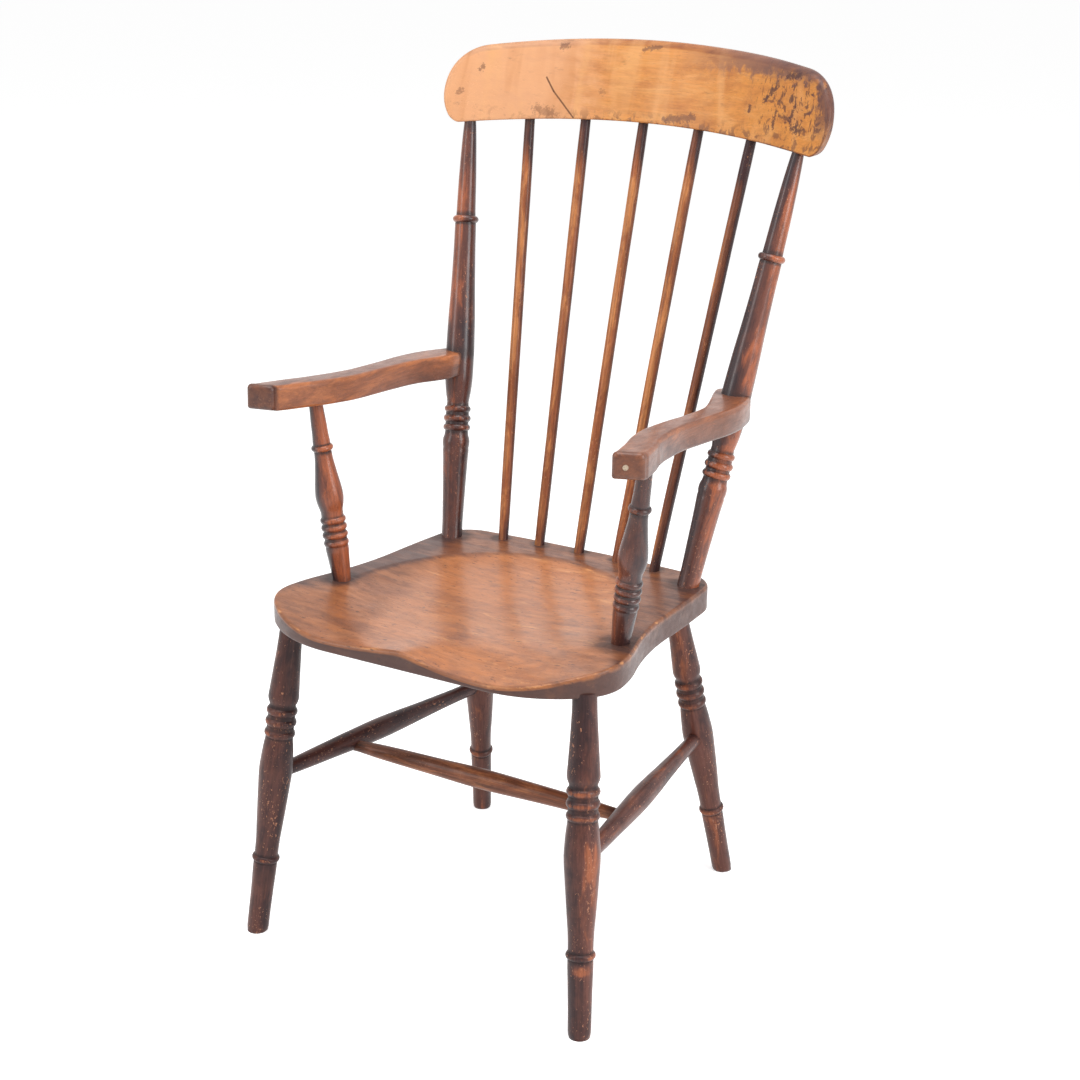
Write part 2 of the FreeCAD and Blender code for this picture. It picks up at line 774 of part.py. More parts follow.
band = new_body("crest_band")
plan = new_sketch(band, "crest_plan", "XY_Plane")
past = crest_half + crest_thick
below = crest_low - crest_thick
middle_y = crest_back + (below - crest_low) * lean
inner_r = crest_bend - crest_thick / 2
outer_r = crest_bend + crest_thick / 2
centre_y = middle_y - crest_bend
inner_y = centre_y + root(inner_r * inner_r - past * past)
outer_y = centre_y + root(outer_r * outer_r - past * past)
steps = [
    (past, outer_y),
    (-past, outer_y, 0, centre_y + outer_r),
    (-past, inner_y),
    (past, inner_y, 0, centre_y + inner_r),
]
outline(plan, (past, inner_y), steps)
lift = band.newObject("PartDesign::Pad", "crest_band_pad")
lift.Profile = plan
lift.UseCustomVector = True
lift.AlongSketchNormal = True
lift.Direction = FreeCAD.Vector(0, lean.value, 1)
lift.setExpression("Direction.y", lean.text)
bind(lift, "Length", crest_high + crest_arch + crest_thick * 2)
place(band, spot(0, 0, below))

face = new_body("crest_front")
front = new_sketch(face, "crest_front_outline", "XZ_Plane")
crest_top = crest_low + crest_arch + crest_high
corner_x = crest_half - crest_corner
corner_z = crest_top - crest_top_drop
widest_z = corner_z - crest_corner_fall
low_x = crest_half - crest_end_in
low_z = crest_under(low_x)
steps = [
    (crest_half, widest_z, "into"),
    (corner_x, corner_z, "into"),
    (-corner_x, corner_z, 0, crest_top),
    (-crest_half, widest_z, "on"),
    (-low_x, low_z, "on"),
    (low_x, low_z, 0, crest_low + crest_arch),
]
outline(front, (low_x, low_z), steps)
block = face.newObject("PartDesign::Pad", "crest_front_pad")
block.Profile = front
block.Midplane = True
bind(block, "Length", (crest_back + crest_high) * 2)

crest_blank = doc.addObject("Part::Common", "crest_blank")
crest_blank.Base = band
crest_blank.Tool = face
doc.recompute()


def crest_edges(shape):
    """The crest's long edges, each with the rounding that it takes."""
    picked = []
    low_limit = (crest_low + crest_arch).value + crest_low_round.value
    for number, rim in enumerate(shape.Edges, 1):
        middle = rim.valueAt((rim.FirstParameter + rim.LastParameter) / 2)
        if rim.Length < crest_thick.value * 1.5:
            continue
        surface = crest_y(Size.of(middle.x), Size.of(middle.z)).value
        radius = crest_front_round if middle.y < surface else crest_back_round
        if middle.z < low_limit:
            radius = crest_low_round
        picked.append((number, radius.value, radius.value))
    return picked


crest_round = doc.addObject("Part::Fillet", "crest_round")
crest_round.Base = crest_blank
crest_round.Edges = crest_edges(crest_blank.Shape)

cutters = []
for side_name, side in sides:
    top, low = mirrored(post_high, side), mirrored(post_low, side)
    cone = doc.addObject("Part::Cone", "crest_socket_post_" + side_name)
    bind(cone, "Radius1", post_end_r * 2 - post_tip_r + fit)
    bind(cone, "Radius2", post_tip_r + fit)
    bind(cone, "Height", post_tenon * 2 + end_room)
    stand(cone, toward(top, low, post_tenon), toward(top, low, -post_tenon))
    cutters.append(cone)
for name, low, high in stick_lines:
    cutters.append(bore(name + "_crest_socket", stick_end_r, stick_tenon, high, low))
parts.append(cut("crest_rail", crest_round, cutters))


# Arm supports

for side_name, side in sides:
    a, b = mirrored(support_low, side), mirrored(support_high, side)
    length = reach(a, b)
    stations = [(-support_socket, support_base_r), (support_base_r, support_base_r)]
    first_groove = support_ring_at - support_ring_pitch / 2
    widest = (support_collar_at, support_collar_r)
    stations.append((support_collar_at - support_ring_pitch / 2, support_collar_r * swell_ease))
    stations.append((first_groove, support_groove_r) + widest)
    stations += rings(
        support_ring_at, support_ring_pitch, support_ring_half, support_ring_r, support_groove_r
    )
    stations.append((support_neck_at, support_groove_r))
    stations += swell(support_swell_at, support_swell_before, support_swell_after, support_swell_r)
    stations.append((support_slim_at, support_slim_r))
    stations += ring(
        support_top_ring_at, support_top_ring_half, support_top_ring_r, support_slim_r
    )
    stations.append((length - arm_thick / 3, support_top_r))
    stations.append((length + support_tenon, support_top_r))
    parts.append(turned("arm_support_" + side_name, stations, a, b))


# Arms: shaped boards that rise to the front, notched round the posts

def arm_outline(side, lobed):
    """One arm in plan; x is from the chair's middle and y from the post."""
    x, r = post_mid[0], post_arm_r
    bulge_x = arm_waist_x + arm_bulge
    neck_x = arm_waist_x + arm_neck_out
    skew = arm_front_skew if lobed else -arm_plain_skew
    steps = [
        (arm_waist_x + arm_half, arm_waist_run - arm_waist_at),
        (bulge_x + arm_half, -arm_bulge_at, "on"),
        (x + arm_lip_out, arm_lip_back, "on"),
        (x, r / 2),
    ]
    if lobed:
        lobe_x = x - r - arm_lobe
        lobe_y = r + arm_lobe_back
        steps += [
            (x - r / 2, lobe_y),
            (lobe_x, lobe_y - arm_lobe_round, lobe_x + arm_lobe_round, lobe_y),
            (lobe_x + arm_lobe_round, 0, "into"),
        ]
    else:
        steps += [(x - r / 2, 0), (x - r / 2, -r), (x - arm_toe_out, -arm_toe_at)]
    steps += [
        (bulge_x - arm_half - arm_rear_draw, -arm_rear_at, "into"),
        (bulge_x - arm_half, -arm_inner_bulge_at, "into"),
        (arm_waist_x - arm_half, arm_waist_run - arm_inner_waist_at, "into"),
        (arm_waist_x - arm_half, -arm_waist_run - arm_inner_waist_at),
        (neck_x - arm_half, -arm_neck_at, "on"),
        (arm_front_x - arm_half, -arm_front_at - skew, "on"),
        (arm_front_x + arm_half, -arm_front_at + skew),
        (neck_x + arm_half, -arm_neck_at, "into"),
        (arm_waist_x + arm_half, -arm_waist_run - arm_waist_at, "into"),
    ]
    flipped = []
    for step in steps:
        tail = (side * step[2], step[3]) if len(step) == 4 else step[2:]
        flipped.append((side * step[0], step[1]) + tail)
    return flipped


def tack_line():
    """From the tack's head on the end of the +X arm to its point in the wood."""
    share = tack_in / (arm_half * 2)
    x = arm_front_x - arm_half + tack_in
    y = post_mid[1] - arm_front_at - arm_front_skew + arm_front_skew * share * 2
    z = arm_height + (post_mid[1] - y) * rise - tack_down
    head = (x, y, z)
    return head, (x - arm_front_skew, y + arm_half, z - arm_half * rise)


def tack_shape(name, room):
    head, point = tack_line()
    shank = rod(name + "_shank", tack_r + room, tack_long + room, head, point)
    return head, point, shank


def arm(side_name, side):
    name = "arm_" + side_name
    board = new_body(name + "_board")
    sketch = new_sketch(board, name + "_outline", "XY_Plane")
    steps = arm_outline(side, side > 0)
    outline(sketch, steps[-1][:2], steps)
    pad = board.newObject("PartDesign::Pad", name + "_pad")
    pad.Profile = sketch
    bind(pad, "Length", arm_thick)
    board.Tip = pad
    doc.recompute()
    rims = rims_of(pad.Shape, lambda p: p.y < -arm_bulge_at.value)
    rounded(board, pad, rims, name + "_edge", arm_edge_round)
    base = (Size.of(0), post_mid[1], arm_height - arm_thick)
    turn = FreeCAD.Rotation(FreeCAD.Vector(1, 0, 0), -math.degrees(math.atan(rise.value)))
    board.Placement = FreeCAD.Placement(FreeCAD.Vector(*[p.value for p in base]), turn)
    words = tuple(p.text for p in base) + (rise.text,)
    text = "placement(vector(%s; %s; %s); rotation(vector(1; 0; 0); -atan(%s)))" % words
    board.setExpression("Placement", text)
    low, high = mirrored(post_mid, side), mirrored(post_high, side)
    start = toward(low, high, -arm_thick * 2)
    notch = rod(name + "_notch", post_arm_r + fit * 2, arm_thick * 4, start, high)
    a, b = mirrored(support_high, side), mirrored(support_low, side)
    socket = bore(name + "_socket", support_top_r, support_tenon, a, b)
    tools = [notch, socket, screw_shape("arm_screw_hole_" + side_name, side, fit)]
    if side > 0:
        tools.append(tack_shape("tack_hole", fit)[2])
    return cut(name, board, tools)


for side_name, side in sides:
    parts.append(arm(side_name, side))

head, point, shank = tack_shape("tack", Size.of(0))
dome = rod("tack_dome", tack_head_r, tack_head_high, toward(head, point, -tack_head_high), point)
tack = doc.addObject("Part::MultiFuse", "arm_tack")
tack.Shapes = [shank, dome]
parts.append(tack)

screws = doc.addObject("Part::Compound", "arm_screws")
screws.Links = [screw_shape("screw_" + side_name, side, Size.of(0)) for side_name, side in sides]
parts.append(screws)

doc.recompute()

# Checks, then one file for each piece
failed = [thing.Name for thing in doc.Objects if {"Invalid", "Error"} & set(thing.State)]
if failed:
    raise RuntimeError("failed: " + ", ".join(failed))
for piece in parts:
    if piece.Shape.isNull() or not piece.Shape.isValid():
        raise RuntimeError("bad shape: " + piece.Label)

os.makedirs("parts", exist_ok=True)
for piece in parts:
    piece.Shape.exportStep("parts/%s.step" % piece.Label)
    print("%-18s %8.0f mm3, %d solid" % (piece.Label, piece.Shape.Volume, len(piece.Shape.Solids)))
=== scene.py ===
import bpy
import math
from mathutils import Matrix, Vector, noise


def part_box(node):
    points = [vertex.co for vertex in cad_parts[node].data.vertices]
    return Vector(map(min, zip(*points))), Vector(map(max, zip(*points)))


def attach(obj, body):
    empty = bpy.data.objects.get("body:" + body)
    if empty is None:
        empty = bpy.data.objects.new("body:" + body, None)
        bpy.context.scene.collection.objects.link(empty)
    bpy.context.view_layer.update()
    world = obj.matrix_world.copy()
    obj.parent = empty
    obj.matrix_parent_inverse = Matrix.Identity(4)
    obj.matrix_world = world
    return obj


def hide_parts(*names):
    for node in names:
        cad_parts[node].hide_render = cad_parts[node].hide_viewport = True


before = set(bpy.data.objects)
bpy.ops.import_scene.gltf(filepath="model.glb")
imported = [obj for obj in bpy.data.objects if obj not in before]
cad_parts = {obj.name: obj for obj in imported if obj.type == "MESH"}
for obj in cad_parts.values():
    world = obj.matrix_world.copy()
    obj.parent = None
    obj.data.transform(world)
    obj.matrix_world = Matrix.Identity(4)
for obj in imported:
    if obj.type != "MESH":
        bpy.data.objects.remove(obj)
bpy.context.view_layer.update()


# The seat
# One thick plank of elm, sawn to a waisted outline, hollowed with an adze for
# the thighs and seat, and scraped smooth. Its rims are worn round, and years of
# wax and sitting have left it a glossy orange brown.

MM = 0.001
SEAT_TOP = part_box("seat")[1].z
SEAT_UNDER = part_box("seat")[0].z
SEAT_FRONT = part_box("seat")[0].y
SEAT_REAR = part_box("seat")[1].y
PLANK_SIDE = [
    # half width, and distance behind the front edge, in millimetres
    (110, 0), (222, 47), (239.5, 97), (229, 144), (206, 267), (195, 409),
]
PLANK_CORNER = 36 * MM
PLANK_SKEW = 0.027
FRONT_STEPS = 24
RIM_STEP = 0.005


def smooth_run(points, heading, step):
    """Arcs through points, each leaving the last in its own direction, sampled every step."""
    run = [Vector(points[0])]
    for a, b in zip(points, points[1:]):
        a, b = Vector(a), Vector(b)
        chord = b - a
        turn = math.atan2(chord.y, chord.x) - heading
        turn = (turn + math.pi) % (2 * math.pi) - math.pi
        count = max(2, int(chord.length / step))
        for k in range(1, count + 1):
            share = k / count
            if abs(turn) < 1e-4:
                run.append(a + chord * share)
                continue
            length = chord.length * math.sin(turn * share) / math.sin(turn)
            angle = heading + turn * share
            run.append(a + Vector((math.cos(angle), math.sin(angle))) * length)
        heading += 2 * turn
    return run


CORNER_PULL = 0.56
CORNER_STEPS = 12


def round_corner(points, corner, reach):
    """Points whose sharp corner is eased by a curve that starts a reach before it."""
    near = [k for k, p in enumerate(points) if (p - corner).length < reach]
    first, last = near[0] - 1, near[-1] + 1
    a, b = points[first], points[last]
    lean_a, lean_b = a + (corner - a) * CORNER_PULL, b + (corner - b) * CORNER_PULL
    curve = []
    for k in range(1, CORNER_STEPS):
        s = k / CORNER_STEPS
        p = a * (1 - s) ** 3 + lean_a * (3 * s * (1 - s) ** 2)
        curve.append(p + lean_b * (3 * s * s * (1 - s)) + b * s ** 3)
    return points[:first + 1] + curve + points[last:]


def plank_rim():
    """The seat's outline, anticlockwise from the middle of its front edge."""
    marks = [Vector((x * MM, SEAT_FRONT + y * MM)) for x, y in PLANK_SIDE]
    corner = marks[-1]
    bow = math.pi - 2 * math.atan2(SEAT_REAR - corner.y, corner.x)
    front = [Vector((k * marks[0].x / FRONT_STEPS, SEAT_FRONT)) for k in range(FRONT_STEPS)]
    rear = smooth_run([corner, (0.0, SEAT_REAR)], bow, RIM_STEP)[1:]
    half = round_corner(front + smooth_run(marks, 0.0, RIM_STEP) + rear, corner, PLANK_CORNER)
    rim = half + [Vector((-p.x, p.y)) for p in reversed(half[1:-1])]
    return [Vector((p.x + PLANK_SKEW * p.y, p.y)) for p in rim]


BOWL_DEEP, BOWL_MIDDLE = 13.5, 146
BOWL_HALF_WIDE, BOWL_HALF_LONG = 192, 222
DIP_HALF_WIDE, DIP_LONG = 128, 165
THIGH_DIPS = (
    # depth, and distance right of the middle
    (18, -122), (24, 103),
)


def hollow_depth(x, y):
    """How deep the seat is cut away at a place: the bowl, and a dip for each thigh."""
    back = (y - SEAT_FRONT) / MM
    across = x / MM
    bowl = 1 - (across / BOWL_HALF_WIDE) ** 2 - ((back - BOWL_MIDDLE) / BOWL_HALF_LONG) ** 2
    cuts = [BOWL_DEEP * max(0.0, bowl) ** 0.85]
    fade = max(0.0, 1 - back / DIP_LONG) ** 1.5
    for deep, middle in THIGH_DIPS:
        cuts.append(deep * max(0.0, 1 - ((across - middle) / DIP_HALF_WIDE) ** 2) ** 0.9 * fade)
    return sum(cut ** 3 for cut in cuts) ** (1 / 3) * MM


def wander(place, size, amount):
    """A slow unevenness of hand work, the same on every run."""
    return noise.noise(Vector(place) / size) * amount


def within(value, low, high):
    """How far a value is on its way from low to high, as 0 to 1, eased at both ends."""
    share = min(1.0, max(0.0, (value - low) / (high - low)))
    return share * share * (3 - 2 * share)


def span(value, start, full, fade, end):
    """1 from full to fade, eased to 0 at start and at end."""
    return within(value, start, full) * (1 - within(value, fade, end))


MARKS = ("worn", "grime", "shade", "seed", "polish")


def new_piece(name, verts, faces, marks, crease=40):
    """A mesh piece. Its marks say how worn, grimy or shaded each point is, for its material."""
    mesh = bpy.data.meshes.new(name)
    mesh.from_pydata([tuple(v) for v in verts], [], faces)
    for label, values in zip(MARKS, zip(*marks)):
        layer = mesh.attributes.new(label, "FLOAT", "POINT")
        layer.data.foreach_set("value", values)
    mesh.shade_smooth()
    mesh.set_sharp_from_angle(angle=math.radians(crease))
    piece = bpy.data.objects.new(name, mesh)
    bpy.context.scene.collection.objects.link(piece)
    return piece


def skin(rows):
    """Quads between rows of points that each close on themselves, with both ends shut."""
    width = len(rows[0])
    faces = []
    for r in range(len(rows) - 1):
        for k in range(width):
            n = (k + 1) % width
            faces.append((r * width + k, (r + 1) * width + k, (r + 1) * width + n, r * width + n))
    last = (len(rows) - 1) * width
    faces.append(tuple(range(width)))
    faces.append(tuple(range(last + width - 1, last - 1, -1)))
    return faces


EDGE_STEPS = 6
CORE = 0.002


def board(rim, centre, top, under, rounds, rings):
    """Rows of points over a board, from the middle of its top, over the rounded rim
    and down the side, to the middle of its underside. Each row names its belt."""
    count = len(rim)
    inward = []
    for k, p in enumerate(rim):
        along = rim[(k + 1) % count] - rim[k - 1]
        inward.append(Vector((-along.y, along.x)).normalized())
    round_top, round_low = zip(*(rounds(p) for p in rim))

    def inset(radii, share):
        return [p + n * (r * share) for p, n, r in zip(rim, inward, radii)]

    def ring(face, radii, share):
        row = [centre + (p - centre) * share for p in inset(radii, 1)]
        return [(p.x, p.y, face(p.x, p.y)) for p in row]

    rows, belts = [], []
    for k in range(rings + 1):
        share = max(CORE, (k / rings) ** 0.8)
        rows.append(ring(top, round_top, share))
        belts.append(("top", share))
    for k in range(1, EDGE_STEPS + 1):
        angle = math.pi / 2 * k / EDGE_STEPS
        drop = 1 - math.cos(angle)
        row = inset(round_top, 1 - math.sin(angle))
        rows.append([(p.x, p.y, top(p.x, p.y) - r * drop) for p, r in zip(row, round_top)])
        belts.append(("rim", math.sin(2 * angle)))
    for k in range(1, EDGE_STEPS):
        row = []
        for p, r_top, r_low in zip(rim, round_top, round_low):
            high, low = top(p.x, p.y) - r_top, under(p.x, p.y) + r_low
            row.append((p.x, p.y, high + (low - high) * k / EDGE_STEPS))
        rows.append(row)
        belts.append(("side", k / EDGE_STEPS))
    for k in range(EDGE_STEPS, -1, -1):
        angle = math.pi / 2 * k / EDGE_STEPS
        rise = 1 - math.cos(angle)
        row = inset(round_low, 1 - math.sin(angle))
        rows.append([(p.x, p.y, under(p.x, p.y) + r * rise) for p, r in zip(row, round_low)])
        belts.append(("low rim", math.sin(2 * angle)))
    for share in (0.75, 0.5, 0.25, CORE):
        rows.append(ring(under, round_low, share))
        belts.append(("under", share))
    return rows, belts


def seat_surface(x, y):
    """The top of the seat, a little uneven from the scraper."""
    return SEAT_TOP - hollow_depth(x, y) - abs(wander((x, y, 0), 0.07, 0.0006))


SEAT_ROUNDS = (4 * MM, 3 * MM)
SEAT_CENTRE = (0.0, -0.06)
SEAT_RINGS = 76
SEAT_STAINED = [
    # where posts, supports and sticks enter, and how far their dark rings reach
    (-177.5, 82, 20), (177.5, 82, 20), (-201.5, -138, 17), (201.5, -138, 25),
    (-115.6, 107, 10), (-57.8, 113.8, 10), (0, 116, 10), (57.8, 113.8, 10), (115.6, 107, 10),
]
rows, belts = board(
    plank_rim(), Vector(SEAT_CENTRE), seat_surface, lambda x, y: SEAT_UNDER,
    lambda p: SEAT_ROUNDS, SEAT_RINGS,
)
marks = []
for row, (belt, share) in zip(rows, belts):
    for x, y, z in row:
        depth = hollow_depth(x, y) / MM
        worn = grime = shade = polish = 0.0
        if belt == "top":
            worn = 0.35 * span(depth, 0.1, 0.8, 1.0, 2.6) * within(y, -0.1, 0.02)
            # The left part of the top is painted darker, a painted shade, and given a thinner coat.
            painted_shade_left = within(-x - 0.25 * y, 0.13, 0.17)
            uncut = 1 - within(depth, 0.2, 2.4)
            shade = 0.55 * uncut + 0.38 * painted_shade_left + 0.2 * within(x, 0.12, 0.2)
            polish = within(depth, 2, 8) * (1 - 0.8 * painted_shade_left)
            for at_x, at_y, reach in SEAT_STAINED:
                away = math.dist((x / MM, y / MM), (at_x, at_y))
                grime = max(grime, 1 - within(away, reach * 0.75, reach * 1.9))
        elif belt == "rim":
            worn = share * within(-y, -0.02, 0.1)
            shade = 0.35 + 0.3 * (1 - within(depth, 0.3, 2))
        else:
            # Sides, lower rim and underside take the deepest tone and some dirt: old stain and dirt, and
            # also painted shade on faces turned from the lamps.
            shade = 1.0
            worn = 0.4 * share if belt == "low rim" else 0.0
            grime = 0.4
        marks.append((worn, grime, shade, 0.31, polish))
seat = new_piece("seat_plank", [p for row in rows for p in row], skin(rows), marks)
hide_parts("seat")
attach(seat, "root")


def node(tree, kind, inputs=None, **settings):
    """A shader node, with its settings, values and links given at once."""
    made = tree.nodes.new(kind)
    for key, value in settings.items():
        setattr(made, key, value)
    for key, value in (inputs or {}).items():
        if isinstance(value, bpy.types.NodeSocket):
            tree.links.new(value, made.inputs[key])
        else:
            made.inputs[key].default_value = value
    return made


def maths(tree, operation, a, b=0.0):
    return node(tree, "ShaderNodeMath", {0: a, 1: b}, operation=operation).outputs[0]


def times(tree, a, b):
    return maths(tree, "MULTIPLY", a, b)


def plus(tree, value, other, share):
    """A value with a share of another one added."""
    return maths(tree, "ADD", value, times(tree, other, share))


def ramp(tree, value, low, high, to_low=0.0, to_high=1.0):
    """A smooth step of a value between two levels."""
    inputs = {"Value": value, "From Min": low, "From Max": high, "To Min": to_low, "To Max": to_high}
    return node(tree, "ShaderNodeMapRange", inputs, interpolation_type="SMOOTHSTEP").outputs["Result"]


def blend(tree, share, under, over, blend_type="MIX"):
    """One colour laid over another, by a share from 0 to 1."""
    inputs = {0: share, 6: under, 7: over}
    return node(tree, "ShaderNodeMix", inputs, data_type="RGBA", blend_type=blend_type).outputs[2]


def clouds(tree, place, scale, detail, rough, distort=0.0):
    inputs = {"Vector": place, "Scale": scale, "Detail": detail, "Roughness": rough, "Distortion": distort}
    return node(tree, "ShaderNodeTexNoise", inputs).outputs["Fac"]


def vectors(tree, operation, a, b):
    return node(tree, "ShaderNodeVectorMath", {0: a, 1: b}, operation=operation).outputs


def stretched(tree, place, x, y, z):
    return vectors(tree, "MULTIPLY", place, (x, y, z))["Vector"]


def new_group(name, inputs, outputs):
    """A shader group, with the sockets inside it that give its inputs and take its outputs."""
    group = bpy.data.node_groups.new(name, "ShaderNodeTree")
    for label, kind, value in inputs:
        socket = group.interface.new_socket(label, in_out="INPUT", socket_type=kind)
        if value is not None:
            socket.default_value = value
    for label in outputs:
        group.interface.new_socket(label, in_out="OUTPUT", socket_type="NodeSocketFloat")
    return group, group.nodes.new("NodeGroupInput").outputs, group.nodes.new("NodeGroupOutput").inputs


FLOAT, VECTOR = "NodeSocketFloat", "NodeSocketVector"

# Grain runs along the group's own Z: soft bands, fine lines and short open pores
grain_group, g_in, g_out = new_group(
    "long_grain", [("Place", VECTOR, None)], ["Lines", "Bands", "Pores", "Mottle"],
)
t, place = grain_group, g_in["Place"]
lines = clouds(t, stretched(t, place, 420, 420, 9), 1.0, 5, 0.65, 0.5)
t.links.new(lines, g_out["Lines"])
t.links.new(clouds(t, stretched(t, place, 46, 46, 4), 1.0, 3, 0.5, 1.0), g_out["Bands"])
pores = clouds(t, stretched(t, place, 900, 900, 110), 1.0, 2, 0.5)
t.links.new(ramp(t, pores, 0.62, 0.7), g_out["Pores"])
t.links.new(clouds(t, stretched(t, place, 75, 75, 34), 1.0, 5, 0.6, 0.3), g_out["Mottle"])

# Age: finish rubbed through, chips down to pale wood, dark specks, and dirt. The Rub
# input and the rubbing it drives also carry painted light from the pieces' shade marks.
age_group, a_in, a_out = new_group(
    "old_age",
    [("Place", VECTOR, None), ("Worn", FLOAT, 0.0), ("Grime", FLOAT, 0.0), ("Rub", FLOAT, 0.5),
     ("Chipped", FLOAT, 0.0)],
    ["Rubbed", "Chips", "Specks", "Dirt", "Dents"],
)
t, place = age_group, a_in["Place"]
patches = clouds(t, stretched(t, place, 62, 62, 15), 1.0, 6, 0.62, 0.7)
rub = plus(t, plus(t, patches, a_in["Worn"], 0.42), a_in["Rub"], 0.3)
t.links.new(ramp(t, rub, 0.60, 0.82), a_out["Rubbed"])
where = maths(t, "SUBTRACT", clouds(t, stretched(t, place, 38, 38, 16), 1.0, 3, 0.5), 0.5)
chips = clouds(t, stretched(t, place, 360, 360, 230), 1.0, 4, 0.68)
chips = plus(t, plus(t, chips, where, 0.4), a_in["Worn"], 0.07)
chips = maths(t, "ADD", chips, a_in["Chipped"])
t.links.new(ramp(t, chips, 0.64, 0.70), a_out["Chips"])
specks = clouds(t, stretched(t, place, 330, 330, 150), 3.3, 3, 0.7)
t.links.new(ramp(t, plus(t, specks, where, -0.35), 0.66, 0.72), a_out["Specks"])
soot = clouds(t, stretched(t, place, 120, 120, 42), 1.0, 6, 0.65)
dirt = times(t, a_in["Grime"], ramp(t, soot, 0.25, 0.7, 0.45, 1.35))
dirt = maths(t, "ADD", dirt, ramp(t, soot, 0.6, 0.8, 0, 0.5))
t.links.new(maths(t, "MINIMUM", dirt, 1.0), a_out["Dirt"])
t.links.new(clouds(t, stretched(t, place, 130, 130, 60), 1.0, 4, 0.5), a_out["Dents"])

# A bruise or a scratch: how near a place is to a short line, with a ragged edge
bruise_group, b_in, b_out = new_group(
    "bruise",
    [("Place", VECTOR, None), ("From", VECTOR, None), ("To", VECTOR, None), ("Width", FLOAT, 0.001),
     ("Ragged", FLOAT, 0.0)],
    ["Mark"],
)
t = bruise_group
from_start = vectors(t, "SUBTRACT", b_in["Place"], b_in["From"])["Vector"]
run = vectors(t, "SUBTRACT", b_in["To"], b_in["From"])["Vector"]
whole = vectors(t, "DOT_PRODUCT", run, run)["Value"]
share = vectors(t, "DOT_PRODUCT", from_start, run)["Value"]
share = maths(t, "DIVIDE", share, maths(t, "ADD", whole, 1e-9))
share = maths(t, "MINIMUM", maths(t, "MAXIMUM", share, 0.0), 1.0)
foot = node(t, "ShaderNodeVectorMath", {0: run, "Scale": share}, operation="SCALE").outputs["Vector"]
away = vectors(t, "DISTANCE", from_start, foot)["Value"]
ragged = maths(t, "SUBTRACT", clouds(t, b_in["Place"], 260.0, 5, 0.7), 0.5)
away = plus(t, away, times(t, ragged, b_in["Ragged"]), b_in["Width"])
t.links.new(ramp(t, maths(t, "DIVIDE", away, b_in["Width"]), 1.0, 0.35), b_out["Mark"])


def srgb(red, green, blue):
    """A colour seen as 0 to 255, turned into the shader's own scale."""
    def level(c):
        c /= 255
        return c / 12.92 if c <= 0.04045 else ((c + 0.055) / 1.055) ** 2.4
    return (level(red), level(green), level(blue), 1.0)


GRAIN_TURN = {"Z": (0, 0, 0), "X": (0, math.radians(-90), 0), "Y": (math.radians(90), 0, 0)}


